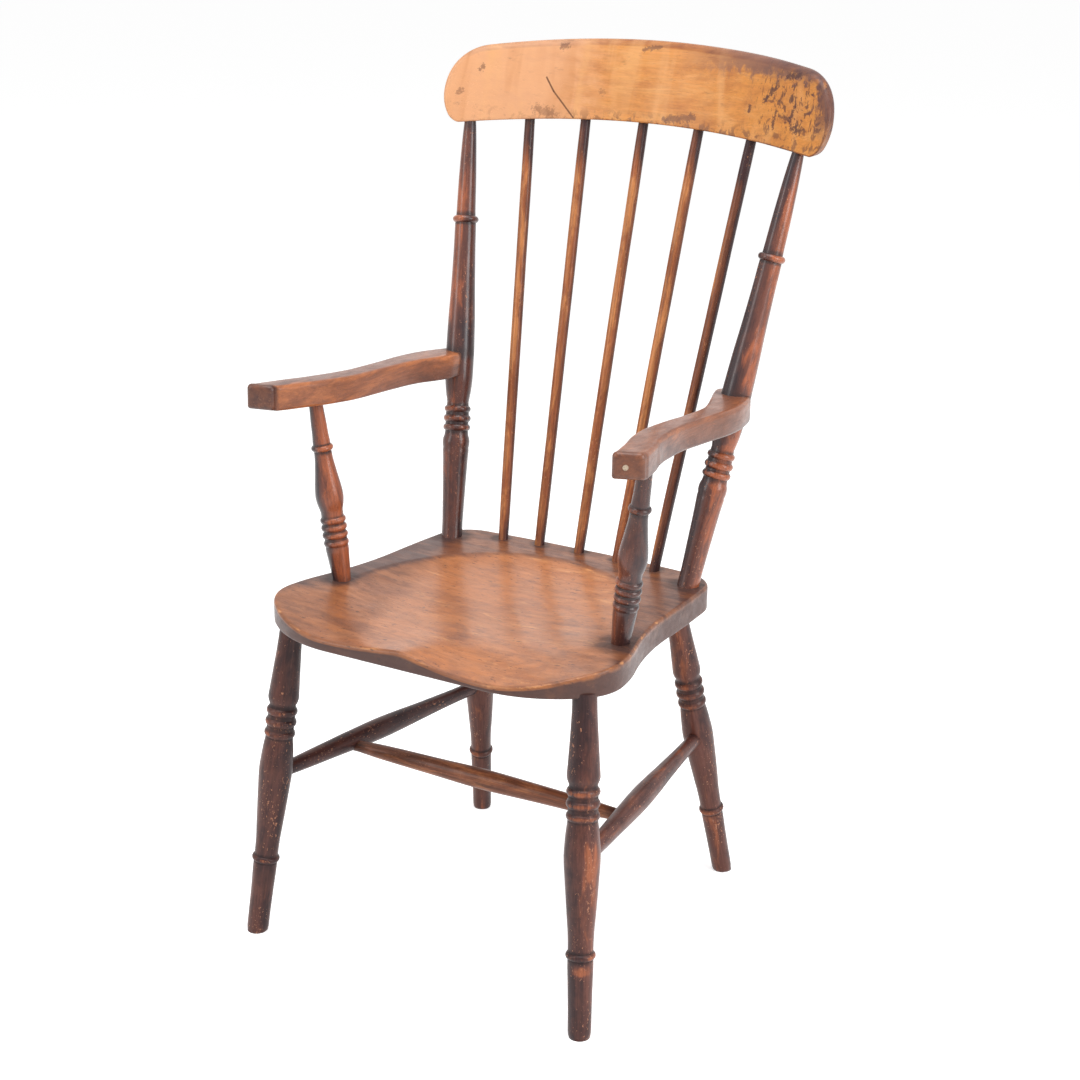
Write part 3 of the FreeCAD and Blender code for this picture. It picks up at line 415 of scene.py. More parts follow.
class Finish:
    """An old finish on wood: stain over bare wood, rubbed, chipped, soiled and waxed.
    Its colours are given as seen, 0 to 255."""

    def __init__(self, name, axis, stain, bare, deep, rub, lines, blotch, specks, edge=0.35, chipped=0.0):
        self.material = bpy.data.materials.new(name)
        self.material.use_nodes = True
        self.tree = t = self.material.node_tree
        self.shader = t.nodes["Principled BSDF"]
        self.place = node(t, "ShaderNodeTexCoord").outputs["Object"]
        seed = self.mark("seed")
        apart = node(t, "ShaderNodeCombineXYZ", {"X": seed, "Y": times(t, seed, 3.7), "Z": seed})
        moved = vectors(t, "ADD", self.place, apart.outputs[0])["Vector"]
        turned = node(t, "ShaderNodeMapping", {"Vector": moved, "Rotation": GRAIN_TURN[axis]})
        along = turned.outputs[0]
        grain = node(t, "ShaderNodeGroup", {"Place": along}, node_tree=grain_group)
        self.lines, bands, self.pores, self.mottle = grain.outputs
        # The shade mark deepens the stain and, below 0, rubs it through to bare wood. Pieces use it for real
        # tone and also for painted shade and painted light.
        self.shade = self.mark("shade")
        inputs = {"Place": along, "Worn": times(t, self.mark("worn"), edge), "Grime": self.mark("grime"),
                  "Rub": plus(t, rub, self.shade, -0.8), "Chipped": chipped}
        age = node(t, "ShaderNodeGroup", inputs, node_tree=age_group)
        rubbed_and_lit, self.chips, self.specks, self.dirt, self.dents = age.outputs
        deepness = maths(t, "ADD", ramp(t, bands, 0.35, 0.7, 0.0, 0.6 * blotch), self.shade)
        deepness = maths(t, "ADD", deepness, ramp(t, self.mottle, 0.35, 0.7, -0.3 * blotch, 0.4 * blotch))
        deepness = maths(t, "MINIMUM", maths(t, "MAXIMUM", deepness, 0.0), 1.0)
        self.colour = blend(t, deepness, srgb(*stain), srgb(*deep))
        self.stain(rubbed_and_lit, bare)
        level = ramp(t, self.lines, 0.3, 0.7, 1 - lines, 1 + lines * 0.35)
        level = node(t, "ShaderNodeCombineColor", {0: level, 1: level, 2: level}).outputs[0]
        self.colour = blend(t, 1.0, self.colour, level, "MULTIPLY")
        self.stain(self.pores, deep, 0.4)
        self.stain(self.specks, (62, 38, 32), specks)

    def mark(self, label):
        """One of the piece's own marks, such as where it is worn."""
        made = node(self.tree, "ShaderNodeAttribute", attribute_type="GEOMETRY", attribute_name=label)
        return made.outputs["Fac"]

    def stain(self, mask, colour, strength=1.0):
        """Lay a colour over part of the surface."""
        self.colour = blend(self.tree, times(self.tree, mask, strength), self.colour, srgb(*colour))

    def bruise(self, start, end, width, ragged, colour, strength):
        inputs = {"Place": self.place, "From": start, "To": end, "Width": width, "Ragged": ragged}
        made = node(self.tree, "ShaderNodeGroup", inputs, node_tree=bruise_group)
        self.stain(made.outputs["Mark"], colour, strength)

    def finish(self, grime, roughness=0.34, coat=0.2, polish=None, specular=0.22, relief=0.6):
        """Lay the dirt and the wax over the wood; the material is then ready."""
        t, sockets = self.tree, self.shader.inputs
        self.stain(self.dirt, grime, 0.8)
        t.links.new(self.colour, sockets["Base Color"])
        dull = plus(t, plus(t, roughness, self.dirt, 0.25), self.chips, 0.2)
        dull = maths(t, "ADD", dull, ramp(t, self.mottle, 0.3, 0.7, -0.06, 0.08))
        t.links.new(dull, sockets["Roughness"])
        sockets["Specular IOR Level"].default_value = specular
        sockets["Coat Weight"].default_value = coat
        if polish is not None:
            t.links.new(polish, sockets["Coat Weight"])
        sockets["Coat Roughness"].default_value = 0.2
        sockets["Coat IOR"].default_value = 1.4
        height = plus(t, times(t, self.lines, 0.25), self.dents, relief)
        for pit, depth in ((self.chips, -0.35), (self.pores, -0.15), (self.specks, -0.2)):
            height = plus(t, height, pit, depth)
        bump = node(t, "ShaderNodeBump", {"Height": height, "Distance": 0.0005, "Strength": 0.7})
        t.links.new(bump.outputs["Normal"], sockets["Normal"])
        return self.material


elm = Finish(
    "waxed_elm", "X", stain=(184, 114, 66), bare=(212, 146, 92), deep=(86, 52, 42),
    rub=0.2, lines=0.08, blotch=0.42, specks=0.85, edge=0.5,
)
t = elm.tree
elm.stain(elm.chips, (140, 98, 82), 0.3)
open_wood = ramp(t, elm.shade, 0.75, 0.2)
figure = clouds(t, stretched(t, elm.place, 8, 24, 24), 1.0, 5, 0.6, 2.2)
elm.stain(times(t, ramp(t, figure, 0.5, 0.62), open_wood), (136, 80, 54), 0.3)
elm.stain(times(t, ramp(t, figure, 0.48, 0.36), open_wood), (200, 136, 94), 0.22)
worn_dark = clouds(t, elm.place, 19.0, 4, 0.55, 0.8)
elm.stain(ramp(t, worn_dark, 0.52, 0.72), (116, 70, 50), 0.5)
flecks = clouds(t, stretched(t, elm.place, 90, 300, 300), 1.0, 3, 0.6)
elm.stain(ramp(t, flecks, 0.62, 0.68), (70, 42, 34), 0.7)
polished = times(t, ramp(t, elm.mottle, 0.3, 0.7, 0.6, 1.0), elm.mark("polish"))
polished = plus(t, 0.25, polished, 0.75)
seat_elm = elm.finish((58, 40, 38), roughness=0.36, polish=polished, specular=0.35, relief=0.4)
seat.data.materials.append(seat_elm)


# The legs
# Four turned legs of beech, splayed and driven into blind sockets under the
# seat, each with a bead above the foot, a long swell, and three beads under its
# shoulder. Their dark stain is chipped and rubbed through to orange wood, and
# round each leg one side is painted lighter and the other darker: painted light
# and painted shade.

FRONT_FOOT, FRONT_TOP = (238, -279, 0), (208, -232, 410)
BACK_FOOT, BACK_TOP = (190, 189, 0), (149, 101, 410)
LEG_SHAFT = [
    # distance from the foot and radius, in millimetres
    (-6, 11.8), (1, 12.6), (5, 13.3), (30, 13.6), (60, 14.1), (90, 14.8), (109, 14.6), (121, 14.8),
    (133, 15.3), (145, 16.2), (169, 17.8), (193, 19.3), (212, 20.4), (224, 20.7), (236, 20),
    (248, 19.1), (258, 18), (264, 17.2), (278.5, 16.9), (293.5, 16.9), (304, 16.5), (309, 16.2),
    (313, 17.8), (317, 18.8), (324, 18.5), (344, 17.2), (357, 16.4), (381, 15.0), (400, 14.2),
    (414, 14.0), (418, 13.9),
]
LEG_BEADS = [
    # distance from the foot, half length and radius, in millimetres
    (101.5, 4.6, 17.2), (271, 5.6, 19.1), (286, 6, 19.2), (300.5, 5.6, 19.0),
]
TURNED_STEP = 4
BEAD_STEPS = 10
RIPPLE, DRIFT = 0.0003, 0.0007


def profile_radius(shaft, beads, distance):
    """The radius at a distance along: a smooth shaft, and round beads that stand on it."""
    for k in range(len(shaft) - 1):
        if distance <= shaft[k + 1][0]:
            break
    d0, r0 = shaft[k]
    d1, r1 = shaft[k + 1]
    before = shaft[k - 1] if k > 0 else shaft[k]
    after = shaft[k + 2] if k + 2 < len(shaft) else shaft[k + 1]
    share = min(1.0, max(0.0, (distance - d0) / (d1 - d0)))
    m0 = (r1 - before[1]) / (d1 - before[0]) * (d1 - d0)
    m1 = (after[1] - r0) / (after[0] - d0) * (d1 - d0)
    s2, s3 = share ** 2, share ** 3
    radius = (2 * s3 - 3 * s2 + 1) * r0 + (s3 - 2 * s2 + share) * m0
    radius += (3 * s2 - 2 * s3) * r1 + (s3 - s2) * m1
    for at, half, height in beads:
        away = abs(distance - at) / half
        if away < 1:
            radius = max(radius, height - half * (1 - math.sqrt(1 - away ** 2)))
    return radius


def distances(shaft, beads):
    """Where the piece is measured: every few millimetres, and closely on the beads."""
    low, high = shaft[0][0], shaft[-1][0]
    count = int((high - low) / TURNED_STEP)
    marks = {round(low + (high - low) * k / count, 2) for k in range(count + 1)}
    for at, half, _ in beads:
        for k in range(-BEAD_STEPS, BEAD_STEPS + 1):
            marks.add(round(at + half * math.sin(math.pi / 2 * k / BEAD_STEPS), 2))
        marks |= {round(at + half * k / 6, 2) for k in (-8, -7, 7, 8)}
    return sorted(mark for mark in marks if low <= mark <= high)


def facing(angle, degrees):
    """How much of a round piece looks towards a bearing taken from +X, as 0 to 1."""
    return max(0.0, math.cos(angle - math.radians(degrees)))


def spin(name, low, high, shaft, beads, slot, shade, grime, around=56, girth=1.0, seed=0.0):
    """A turned piece from low towards high, in millimetres. Its shade depends on distance
    and bearing, its grime on distance."""
    low, high = Vector(low) * MM, Vector(high) * MM
    turn = Vector((0, 0, 1)).rotation_difference(high - low)
    bearings = [2 * math.pi * k / around for k in range(around)]
    rows, marks = [], []
    for d in distances(shaft, beads):
        radius = profile_radius(shaft, beads, d)
        proud = radius - sum(profile_radius(shaft, beads, d + s) for s in (-5, -3, 3, 5)) / 4
        worn, dirt = within(proud, 0.3, 1.6), max(within(-proud, 0.3, 1.4), grime(d))
        drift = wander((d / 190, seed * 9, 0), 1.0, DRIFT)
        row = []
        for angle in bearings:
            x, y = math.cos(angle), math.sin(angle)
            r = radius * girth * MM + wander((x, y, d / 60 + seed * 9), 1.4, RIPPLE)
            row.append(Vector((r * x + drift, r * y, d * MM)))
            marks.append((worn, dirt, shade(d, angle), seed))
        rows.append(row)
    faces = [tuple(reversed(face)) for face in skin(rows)]
    piece = new_piece(name, [p for row in rows for p in row], faces, marks, crease=55)
    piece.matrix_world = Matrix.Translation(low) @ turn.to_matrix().to_4x4()
    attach(piece, "root")
    return piece


def stand_flat(leg):
    """Saw the foot level with the floor."""
    to_world = leg.matrix_world.to_3x3()
    for vertex in leg.data.vertices:
        depth = -(leg.matrix_world @ vertex.co).z
        if depth > 0:
            vertex.co += to_world.inverted() @ Vector((0, 0, depth))


def mirrored(point, side, aside=0, back=0):
    """A place given for the right side, taken to either side and moved a little."""
    return (point[0] * side + aside, point[1] + back, point[2])


LEGS = (
    # place, side, girth and seed
    ("front_left", -1, 1.02, 1.3), ("front_right", 1, 1.04, 2.6),
    ("back_left", -1, 0.97, 3.9), ("back_right", 1, 0.97, 5.2),
)
LEG_STOOD_BACK = {"back_left": -6, "back_right": 6}


def leg_ends(place, side):
    """The foot and the top of a leg; the back feet have come a little out of line."""
    foot, top = (FRONT_FOOT, FRONT_TOP) if place.startswith("front") else (BACK_FOOT, BACK_TOP)
    return mirrored(foot, side, back=LEG_STOOD_BACK.get(place, 0)), mirrored(top, side)


def leg_shade(place):
    """Which parts of a leg kept their dark stain, and which were rubbed orange; the lighter and darker sides
    round each leg are also painted light and painted shade.
    """
    def shade(d, turn):
        if place == "front_left":
            return 0.45 + 0.2 * facing(turn, 30) - 0.25 * facing(turn, -100)
        if place == "front_right":
            dark = 0.15 + 0.35 * facing(turn, -120) + 0.25 * within(d, 300, 400)
            dark -= 0.7 * facing(turn, -25) ** 2 * span(d, 105, 150, 225, 262)
            return dark - 1.6 * facing(turn, -60) ** 4 * span(d, 76, 83, 87, 94)
        return 0.05 + 0.4 * facing(turn, 30) - 0.3 * facing(turn, -110)
    return shade


def leg_grime(d):
    return 0.5 * within(d, 395, 414)


CHIPPED = (186, 128, 98)
SOOT = (34, 22, 24)
beech = Finish(
    "dark_leg_beech", "Z", stain=(104, 62, 52), bare=(160, 92, 62), deep=(56, 34, 35),
    rub=0.2, lines=0.3, blotch=0.9, specks=0.7, edge=0.3, chipped=0.012,
)
beech.stain(beech.chips, CHIPPED, 0.8)
dark_beech = beech.finish(SOOT, roughness=0.36, coat=0.15, relief=0.9)
for place, side, girth, seed in LEGS:
    foot, top = leg_ends(place, side)
    leg = spin("leg_%s_turned" % place, foot, top, LEG_SHAFT, LEG_BEADS, "leg_wood", leg_shade(place),
               leg_grime, around=64, girth=girth, seed=seed)
    stand_flat(leg)
    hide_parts("leg_" + place)
    leg.data.materials.append(dark_beech)


# The stretchers
# Turned beech: two side rails socketed into the legs and a cross rail socketed
# into them, each swelled in the middle and thinned at its ends. The cross rail is
# rubbed to a paler brown.

RAIL_HEIGHT = 211 / 410
CROSS_ALONG = 141 / 404
CROSS_SUNK = 5
RAILS = (
    # side, how far its front and rear ends have sunk, and how dark it is
    ("left", -1, -2, 3, 0.35), ("right", 1, -3, 0, -0.1),
)
RAIL_SHAFT = [
    (5, 9), (20, 9), (50, 10.3), (100, 11.8), (135, 13), (190, 14.1), (235, 13), (270, 11.5),
    (305, 10.4), (340, 9.5), (385, 9), (399, 9),
]
CROSS_SHAFT = [
    (5, 7.5), (14, 7.5), (50, 9.5), (130, 11.5), (204, 13.1), (278, 11.5), (358, 9.5), (394, 7.5),
    (402.5, 7.5),
]


def between(a, b, share, sunk):
    """A place part of the way from a to b, and a little lower."""
    x, y, z = (p + (q - p) * share for p, q in zip(a, b))
    return (x, y, z - sunk)


def rail_grime(d):
    """Soot in the sockets at both ends."""
    return max(0.6 * (1 - within(d, 14, 34)), 0.6 * within(d, 370, 392))


cross_ends = []
for side_name, side, front_sunk, back_sunk, dark in RAILS:
    front = between(*leg_ends("front_" + side_name, side), RAIL_HEIGHT, front_sunk)
    back = between(*leg_ends("back_" + side_name, side), RAIL_HEIGHT, back_sunk)
    # Each side rail is painted darker along one side, a painted shade.
    rail = spin("side_rail_" + side_name, front, back, RAIL_SHAFT, [], "leg_wood",
                lambda d, turn: dark + 0.3 * facing(turn, 30), rail_grime, around=40, seed=6.1 + side)
    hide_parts("stretcher_" + side_name)
    rail.data.materials.append(dark_beech)
    cross_ends.append(between(front, back, CROSS_ALONG, CROSS_SUNK))

cross = spin("cross_rail", *cross_ends, CROSS_SHAFT, [], "cross_stretcher_wood",
             lambda d, turn: -0.1, rail_grime, around=40, seed=8.4)
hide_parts("stretcher_cross")
beech = Finish(
    "brown_rail_beech", "Z", stain=(134, 80, 56), bare=(180, 114, 76), deep=(62, 36, 34),
    rub=0.3, lines=0.45, blotch=0.6, specks=0.7,
)
beech.stain(beech.chips, CHIPPED, 0.5)
cross.data.materials.append(beech.finish(SOOT, roughness=0.36, coat=0.15))


# The back posts
# Two tall turned posts of beech, tenoned into the seat and the crest, with a vase
# foot and three beads below the arm and one bead above it. Hands and wax have
# rubbed them to a reddish orange on their outer sides, where that orange is also
# painted light; their inner sides are painted darker, a painted shade.

SIDES = (("left", -1), ("right", 1))
SEAT_LEVEL = 443
POST_LOW, POST_HIGH_X = (177.5, 82, SEAT_LEVEL), 235.5
POST_ASIDE = 1
POST_SWELL = 18.7
POST_SHAFT = [
    (-23, 13.6), (0, 13.8), (20, 13.8), (39, 14.4), (68, 15.3), (98, 16.5), (112, 17.3), (116.5, 17.6),
    (118, 17.1), (120, 17.8), (126, 18), (131, 17.3), (135.5, 15.7), (150.5, 15.5), (163, 15.5),
    (172, 15), (178, 14.5), (187, 16), (196, 17.2), (208, 18.2), (235, POST_SWELL), (250, POST_SWELL),
    (266, 18.4), (284, 17.9), (303, 17.2), (323, 16.2), (342, 15.5), (362, 14.9), (385, 14.3),
    (412, 13.9), (425, 12.8), (450, 12.2), (470, 11.7), (489, 11), (508, 10.2), (528, 9.1),
    (547, 7.7), (553, 6.9), (560, 5),
]
POST_BEADS = [(144.5, 4.9, 18.1), (156.5, 5.2, 18.2), (169, 4.7, 17.6), (420, 4.6, 17.1)]
CREST_BASE, CREST_ARCH, CREST_HALF = 972, 15, 274
CREST_BEND, CREST_LEAN, CREST_BACK = 662, 0.247, 255.96
CREST_ASIDE = 5


def crest_middle(x, z):
    """How far back the middle of the crest's thickness stands, in millimetres. The crest
    sits a little to one side of the chair's middle."""
    drop = CREST_BEND - math.sqrt(CREST_BEND ** 2 - (x - CREST_ASIDE) ** 2)
    return CREST_BACK - drop + (z - CREST_BASE) * CREST_LEAN


def post_shade(side):
    """Dark above the arm and under the crest, and rubbed orange on the outer side, where the orange is also
    painted light; the inner side is painted darker, a painted shade.
    """
    def shade(d, turn):
        dark = 0.35 * span(d, 232, 238, 262, 300) + 0.3 * within(d, 490, 540)
        if side < 0:
            dark += 0.15 + 0.5 * facing(turn, 20) - 0.75 * facing(turn, -150) * within(d, 240, 330)
            return dark - 0.3 * span(d, 424, 432, 470, 500)
        return dark + 0.75 * facing(turn, -140) - 0.5 * facing(turn, 0) ** 1.5
    return shade


def post_grime(d):
    return max(0.85 * span(d, 236, 243, 247, 254), 0.8 * within(d, 528, 546))


beech = Finish(
    "post_beech_rubbed_with_painted_shading", "Z", stain=(112, 64, 50), bare=(170, 94, 60), deep=(50, 31, 34),
    rub=0.4, lines=0.3, blotch=0.7, specks=0.5, edge=0.22,
)
beech.stain(beech.chips, (196, 132, 98), 0.6)
post_beech = beech.finish(SOOT, roughness=0.3, coat=0.5, specular=0.3)
for side_name, side in SIDES:
    x = POST_HIGH_X * side + POST_ASIDE
    high = (x, crest_middle(x, CREST_BASE), CREST_BASE)
    post = spin("post_%s_turned" % side_name, mirrored(POST_LOW, side), high, POST_SHAFT, POST_BEADS,
                "post_wood", post_shade(side), post_grime, around=64, seed=9.7 + side * 1.6)
    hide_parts("post_" + side_name)
    post.data.materials.append(post_beech)


# The sticks
# Five plain round sticks of beech, driven into the seat and the underside of the
# crest. They are rubbed to orange wood in the middle and dark with old stain at
# both ends.

STICKS = (
    # place in the row, how far it stands aside, shade and seed
    ("stick_far_left", -2, 3.5, 0.0, 1.1), ("stick_left", -1, -2, 0.0, 2.3),
    ("stick_middle", 0, -1, -0.05, 3.1), ("stick_right", 1, -0.5, -0.1, 4.8),
    ("stick_far_right", 2, 0, 0.55, 5.9),
)
STICK_PITCH_LOW, STICK_PITCH_HIGH = 57.8, 81
STICK_ROW_BACK, STICK_ROW_BEND = 116, 750
beech = Finish(
    "orange_stick_beech", "Z", stain=(160, 92, 56), bare=(202, 132, 80), deep=(66, 40, 40),
    rub=0.5, lines=0.4, blotch=0.35, specks=0.4,
)
beech.stain(beech.chips, (216, 152, 104), 0.4)
orange_beech = beech.finish(SOOT, roughness=0.34, coat=0.2)
for name, place, aside, dark, seed in STICKS:
    x = STICK_PITCH_LOW * place
    bend = STICK_ROW_BEND - math.sqrt(STICK_ROW_BEND ** 2 - x * x)
    low = (x + aside, STICK_ROW_BACK - bend, SEAT_LEVEL)
    x = STICK_PITCH_HIGH * place
    z = CREST_BASE + CREST_ARCH * (1 - (x / CREST_HALF) ** 2)
    high = (x + aside, crest_middle(x + aside, z), z)
    length = math.dist(low, high)
    shaft = [(-17, 6.5), (6, 6.6), (40, 6.9), (length / 2, 7.0)]
    shaft += [(length - 40, 6.9), (length - 6, 6.6), (length + 20, 6.5)]

    def stick_shade(d, turn):
        # Dark with old stain at both ends; round the stick one side is painted darker, a painted shade, and
        # the other painted lighter, a painted light.
        ends = 0.5 * (1 - within(d, 5, 45)) + 0.9 * within(d, length - 75, length - 25)
        return dark + ends + 0.65 * facing(turn, 25) - 0.25 * facing(turn, -110)

    def stick_grime(d):
        return 0.7 * within(d, length - 22, length - 2)

    stick = spin(name + "_turned", low, high, shaft, [], "stick_wood", stick_shade, stick_grime,
                 around=32, seed=seed)
    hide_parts(name)
    stick.data.materials.append(orange_beech)


# The arm supports
# Short turned beech balusters, tenoned into the seat and the arms and leaning
# outwards. The left one is orange on its inner side and dark on its outer side, the
# right one keeps its dark stain; these lighter and darker sides are partly painted
# light and painted shade.

SUPPORT_LOW, SUPPORT_HIGH = (201.5, -138, SEAT_LEVEL), (232, -145, 672)
SUPPORTS = (
    # side, how far its foot stands aside, and seed
    ("left", -1, 2, 7.2), ("right", 1, 0, 8.9),
)
SUPPORT_SHAFT = [
    (-19, 10.8), (0, 11.2), (15, 12.5), (25, 13.3), (35, 14.2), (40, 14.6), (43, 14.4), (54, 14.2),
    (63, 14.1), (73, 14.1), (84, 14.0), (91, 14.3), (96, 15.8), (101, 16.8), (108, 17.6),
    (116, 17.1), (126, 15.8), (136, 14.2), (146, 12.8), (156, 11.5), (166, 10.9), (178, 10.9),
    (187, 10.2), (202, 9.7), (224, 8.6), (238, 8.2),
]
SUPPORT_BEADS = [(48, 4.6, 15.8), (58.5, 4.2, 16.2), (68.3, 4.5, 16.3), (78, 4.4, 16.2), (171, 4, 13.7)]


def support_shade(side):
    """Dark on the outer side, a painted shade, and on the left one painted orange on the
    inner side, a painted light; the right one is dark all round but for the inner side
    of its lower half, which is painted lighter as painted light."""
    def shade(d, turn):
        if side < 0:
            return 1.3 * facing(turn, -160) - 0.75 * facing(turn, -15)
        return 0.45 + 0.3 * facing(turn, 10) - 0.7 * facing(turn, 210) * (1 - within(d, 110, 140))
    return shade


def support_grime(d):
    return max(0.5 * (1 - within(d, 0, 10)), 0.6 * within(d, 214, 228))


for side_name, side, aside, seed in SUPPORTS:
    low, high = mirrored(SUPPORT_LOW, side, aside), mirrored(SUPPORT_HIGH, side, aside / 2)
    support = spin("arm_support_%s_turned" % side_name, low, high, SUPPORT_SHAFT, SUPPORT_BEADS, "post_wood",
                   support_shade(side), support_grime, seed=seed)
    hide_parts("arm_support_" + side_name)
    support.data.materials.append(post_beech)


# The crest rail
# A thick beech board sawn to a bend, shaped at its ends and driven down on the
# posts and sticks, its upper rims worn round. It is paler than the rest, clean at
# one end, and stained, knocked and pitted at the other. The clean end is also
# painted paler and pinker, a painted sheen.

CREST_THICK = 19 * MM
CREST_CENTRE = (0.0, 1.033)
CREST_RINGS = 44
CREST_CORNER = 6 * MM
CREST_RIGHT_LONGER, CREST_RIGHT_HIGHER, CREST_EDGE_LOWER = 2.5 * MM, 1.5 * MM, 2 * MM
CREST_EDGE = [(257, 973.8), (274, 1025), (228, 1071), (0, 1087)]
CREST_END_HEADING = math.radians(45.2)


def crest_rim():
    """The crest's outline seen from the front, anticlockwise from under its middle."""
    low_x, low_z = CREST_EDGE[0]
    arch = CREST_BASE + CREST_ARCH
    low = [Vector((x * MM, (arch - (arch - low_z) * (x / low_x) ** 2) * MM)) for x in range(0, low_x, 5)]
    marks = [Vector((x * MM, z * MM)) for x, z in CREST_EDGE]
    half = round_corner(low + smooth_run(marks, CREST_END_HEADING, RIM_STEP), marks[0], CREST_CORNER)
    return half + [Vector((-p.x, p.y)) for p in reversed(half[1:-1])]


def crest_rounds(p):
    """Front and back rounding of the crest's rim, full above and slight below."""
    high = within(p.y, 0.985, 1.03)
    return ((2 + 6.5 * high) * MM, (2 + 5 * high) * MM)


rows, belts = board(
    crest_rim(), Vector(CREST_CENTRE), lambda x, z: CREST_THICK / 2, lambda x, z: -CREST_THICK / 2,
    crest_rounds, CREST_RINGS,
)
verts, marks = [], []
for row, (belt, share) in zip(rows, belts):
    for x, z, out in row:
        back = crest_middle(x / MM + CREST_ASIDE, z / MM) * MM - out + wander((x, z, out), 0.09, 0.0006)
        higher = CREST_RIGHT_HIGHER * within(x, 0.05, 0.2) * within(z, 1.0, 1.06)
        lower = CREST_EDGE_LOWER * (1 - within(z, 0.972, 1.0))
        longer = CREST_RIGHT_LONGER * within(x, 0.2, 0.27)
        verts.append((x + CREST_ASIDE * MM + longer, back, z + higher - lower))
        high = within(z, 1.04, 1.07)
        right = within(x, 0.12, 0.25)
        worn = 0.4 * share if belt in ("rim", "low rim") and z < 1.0 else 0.0
        grime = 0.5 * right * high if belt == "top" else 0.25 * high + 0.6 * right
        shade = {"top": 0.0, "rim": 0.5, "side": 0.7, "low rim": 0.7, "under": 0.6}[belt]
        marks.append((worn, grime, shade * (0.4 + 0.6 * max(right, high)), 4.4))
crest = new_piece("crest_board", verts, skin(rows), marks)
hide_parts("crest_rail")
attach(crest, "root")

pale = Finish(
    "pale_crest_beech", "X", stain=(212, 138, 62), bare=(216, 148, 78), deep=(158, 88, 46),
    rub=0.4, lines=0.14, blotch=0.6, specks=0.3, edge=0.2,
)
t = pale.tree
x, y, z = node(t, "ShaderNodeSeparateXYZ", {0: pale.place}).outputs
# Painted sheen: the left end is painted paler and pinker, standing in for a reflection.
pale.stain(ramp(t, plus(t, x, pale.mottle, 0.1), 0.03, -0.09), (222, 166, 126), 0.8)
curl = clouds(t, stretched(t, pale.place, 26, 5, 5), 1.0, 3, 0.5, 0.6)
pale.stain(ramp(t, curl, 0.5, 0.7), (226, 168, 110), 0.4)
pale.stain(ramp(t, curl, 0.48, 0.3), (188, 120, 62), 0.35)
DARK_STAIN, BRUISED = (74, 42, 38), (108, 66, 46)
knocked = clouds(t, stretched(t, pale.place, 105, 60, 85), 1.0, 3, 0.6, 0.4)
strokes = clouds(t, stretched(t, pale.place, 260, 60, 75), 1.0, 3, 0.6, 0.6)
right_end = times(t, ramp(t, x, 0.14, 0.2), ramp(t, z, 0.985, 1.005))
pale.stain(times(t, ramp(t, knocked, 0.56, 0.62), right_end), DARK_STAIN, 0.75)
pale.stain(times(t, ramp(t, strokes, 0.58, 0.63), right_end), DARK_STAIN, 0.8)
uneven = maths(t, "SUBTRACT", knocked, 0.5)
topmost = times(t, ramp(t, plus(t, z, uneven, 0.05), 1.052, 1.068), ramp(t, x, 0.03, 0.16))
pale.stain(topmost, (122, 84, 74), 0.8)
far_end = times(t, ramp(t, plus(t, x, uneven, 0.08), 0.25, 0.268), ramp(t, z, 0.98, 1.03))
pale.stain(far_end, (100, 62, 54), 0.85)
low_marks = times(t, ramp(t, z, 1.005, 0.985), ramp(t, knocked, 0.5, 0.62))
pale.stain(times(t, low_marks, ramp(t, x, -0.16, -0.02, 0.3, 1.0)), BRUISED, 0.7)
BRUISES = (
    # from and to, by distance right of the middle and height, then width and strength
    ((-145, 994), (-126, 990), 8, 0.4), ((-226, 1041), (-223, 1044), 4, 0.55),
    ((-249, 1011), (-247, 1013), 5, 0.45), ((-123, 1074), (-118, 1075), 6, 0.55),
    ((-9, 1077), (14, 1081), 4, 0.6), ((-63, 1021), (-60, 1020), 5, 0.35),
    ((34, 993), (74, 999), 6, 0.6), ((157, 1015), (157, 1022), 3, 0.8),
    ((179, 1031), (181, 1033), 5, 0.85), ((186, 1041), (192, 1045), 5, 0.85),
    ((212, 1062), (226, 1064), 6, 0.85), ((196, 1000), (198, 1020), 3, 0.8),
    ((222, 1010), (226, 1030), 3, 0.85), ((230, 1002), (238, 1000), 6, 0.85),
    ((206, 1014), (220, 1012), 3, 0.7),
)
SCRATCH = ((-139, 1034), (-127, 1017), (-96, 986))


def on_crest(x, z):
    """A place on the crest's face, from its distance right of the middle and its height."""
    return (x * MM, crest_middle(x, z) * MM - CREST_THICK / 2, z * MM)


for start, end, width, strength in BRUISES:
    pale.bruise(on_crest(*start), on_crest(*end), width * MM, 4.5, DARK_STAIN, strength)
for start, end in zip(SCRATCH, SCRATCH[1:]):
    pale.bruise(on_crest(*start), on_crest(*end), 1.6 * MM, 0.6, (96, 60, 40), 0.9)
crest_beech = pale.finish((70, 44, 42), roughness=0.4, coat=0.2, specular=0.3, relief=0.5)
crest.data.materials.append(crest_beech)


# The arms
# Shaped beech boards that rise to the front and flare outwards at the hand, let
# in round the posts and screwed to them. The rims are rubbed round and soft.

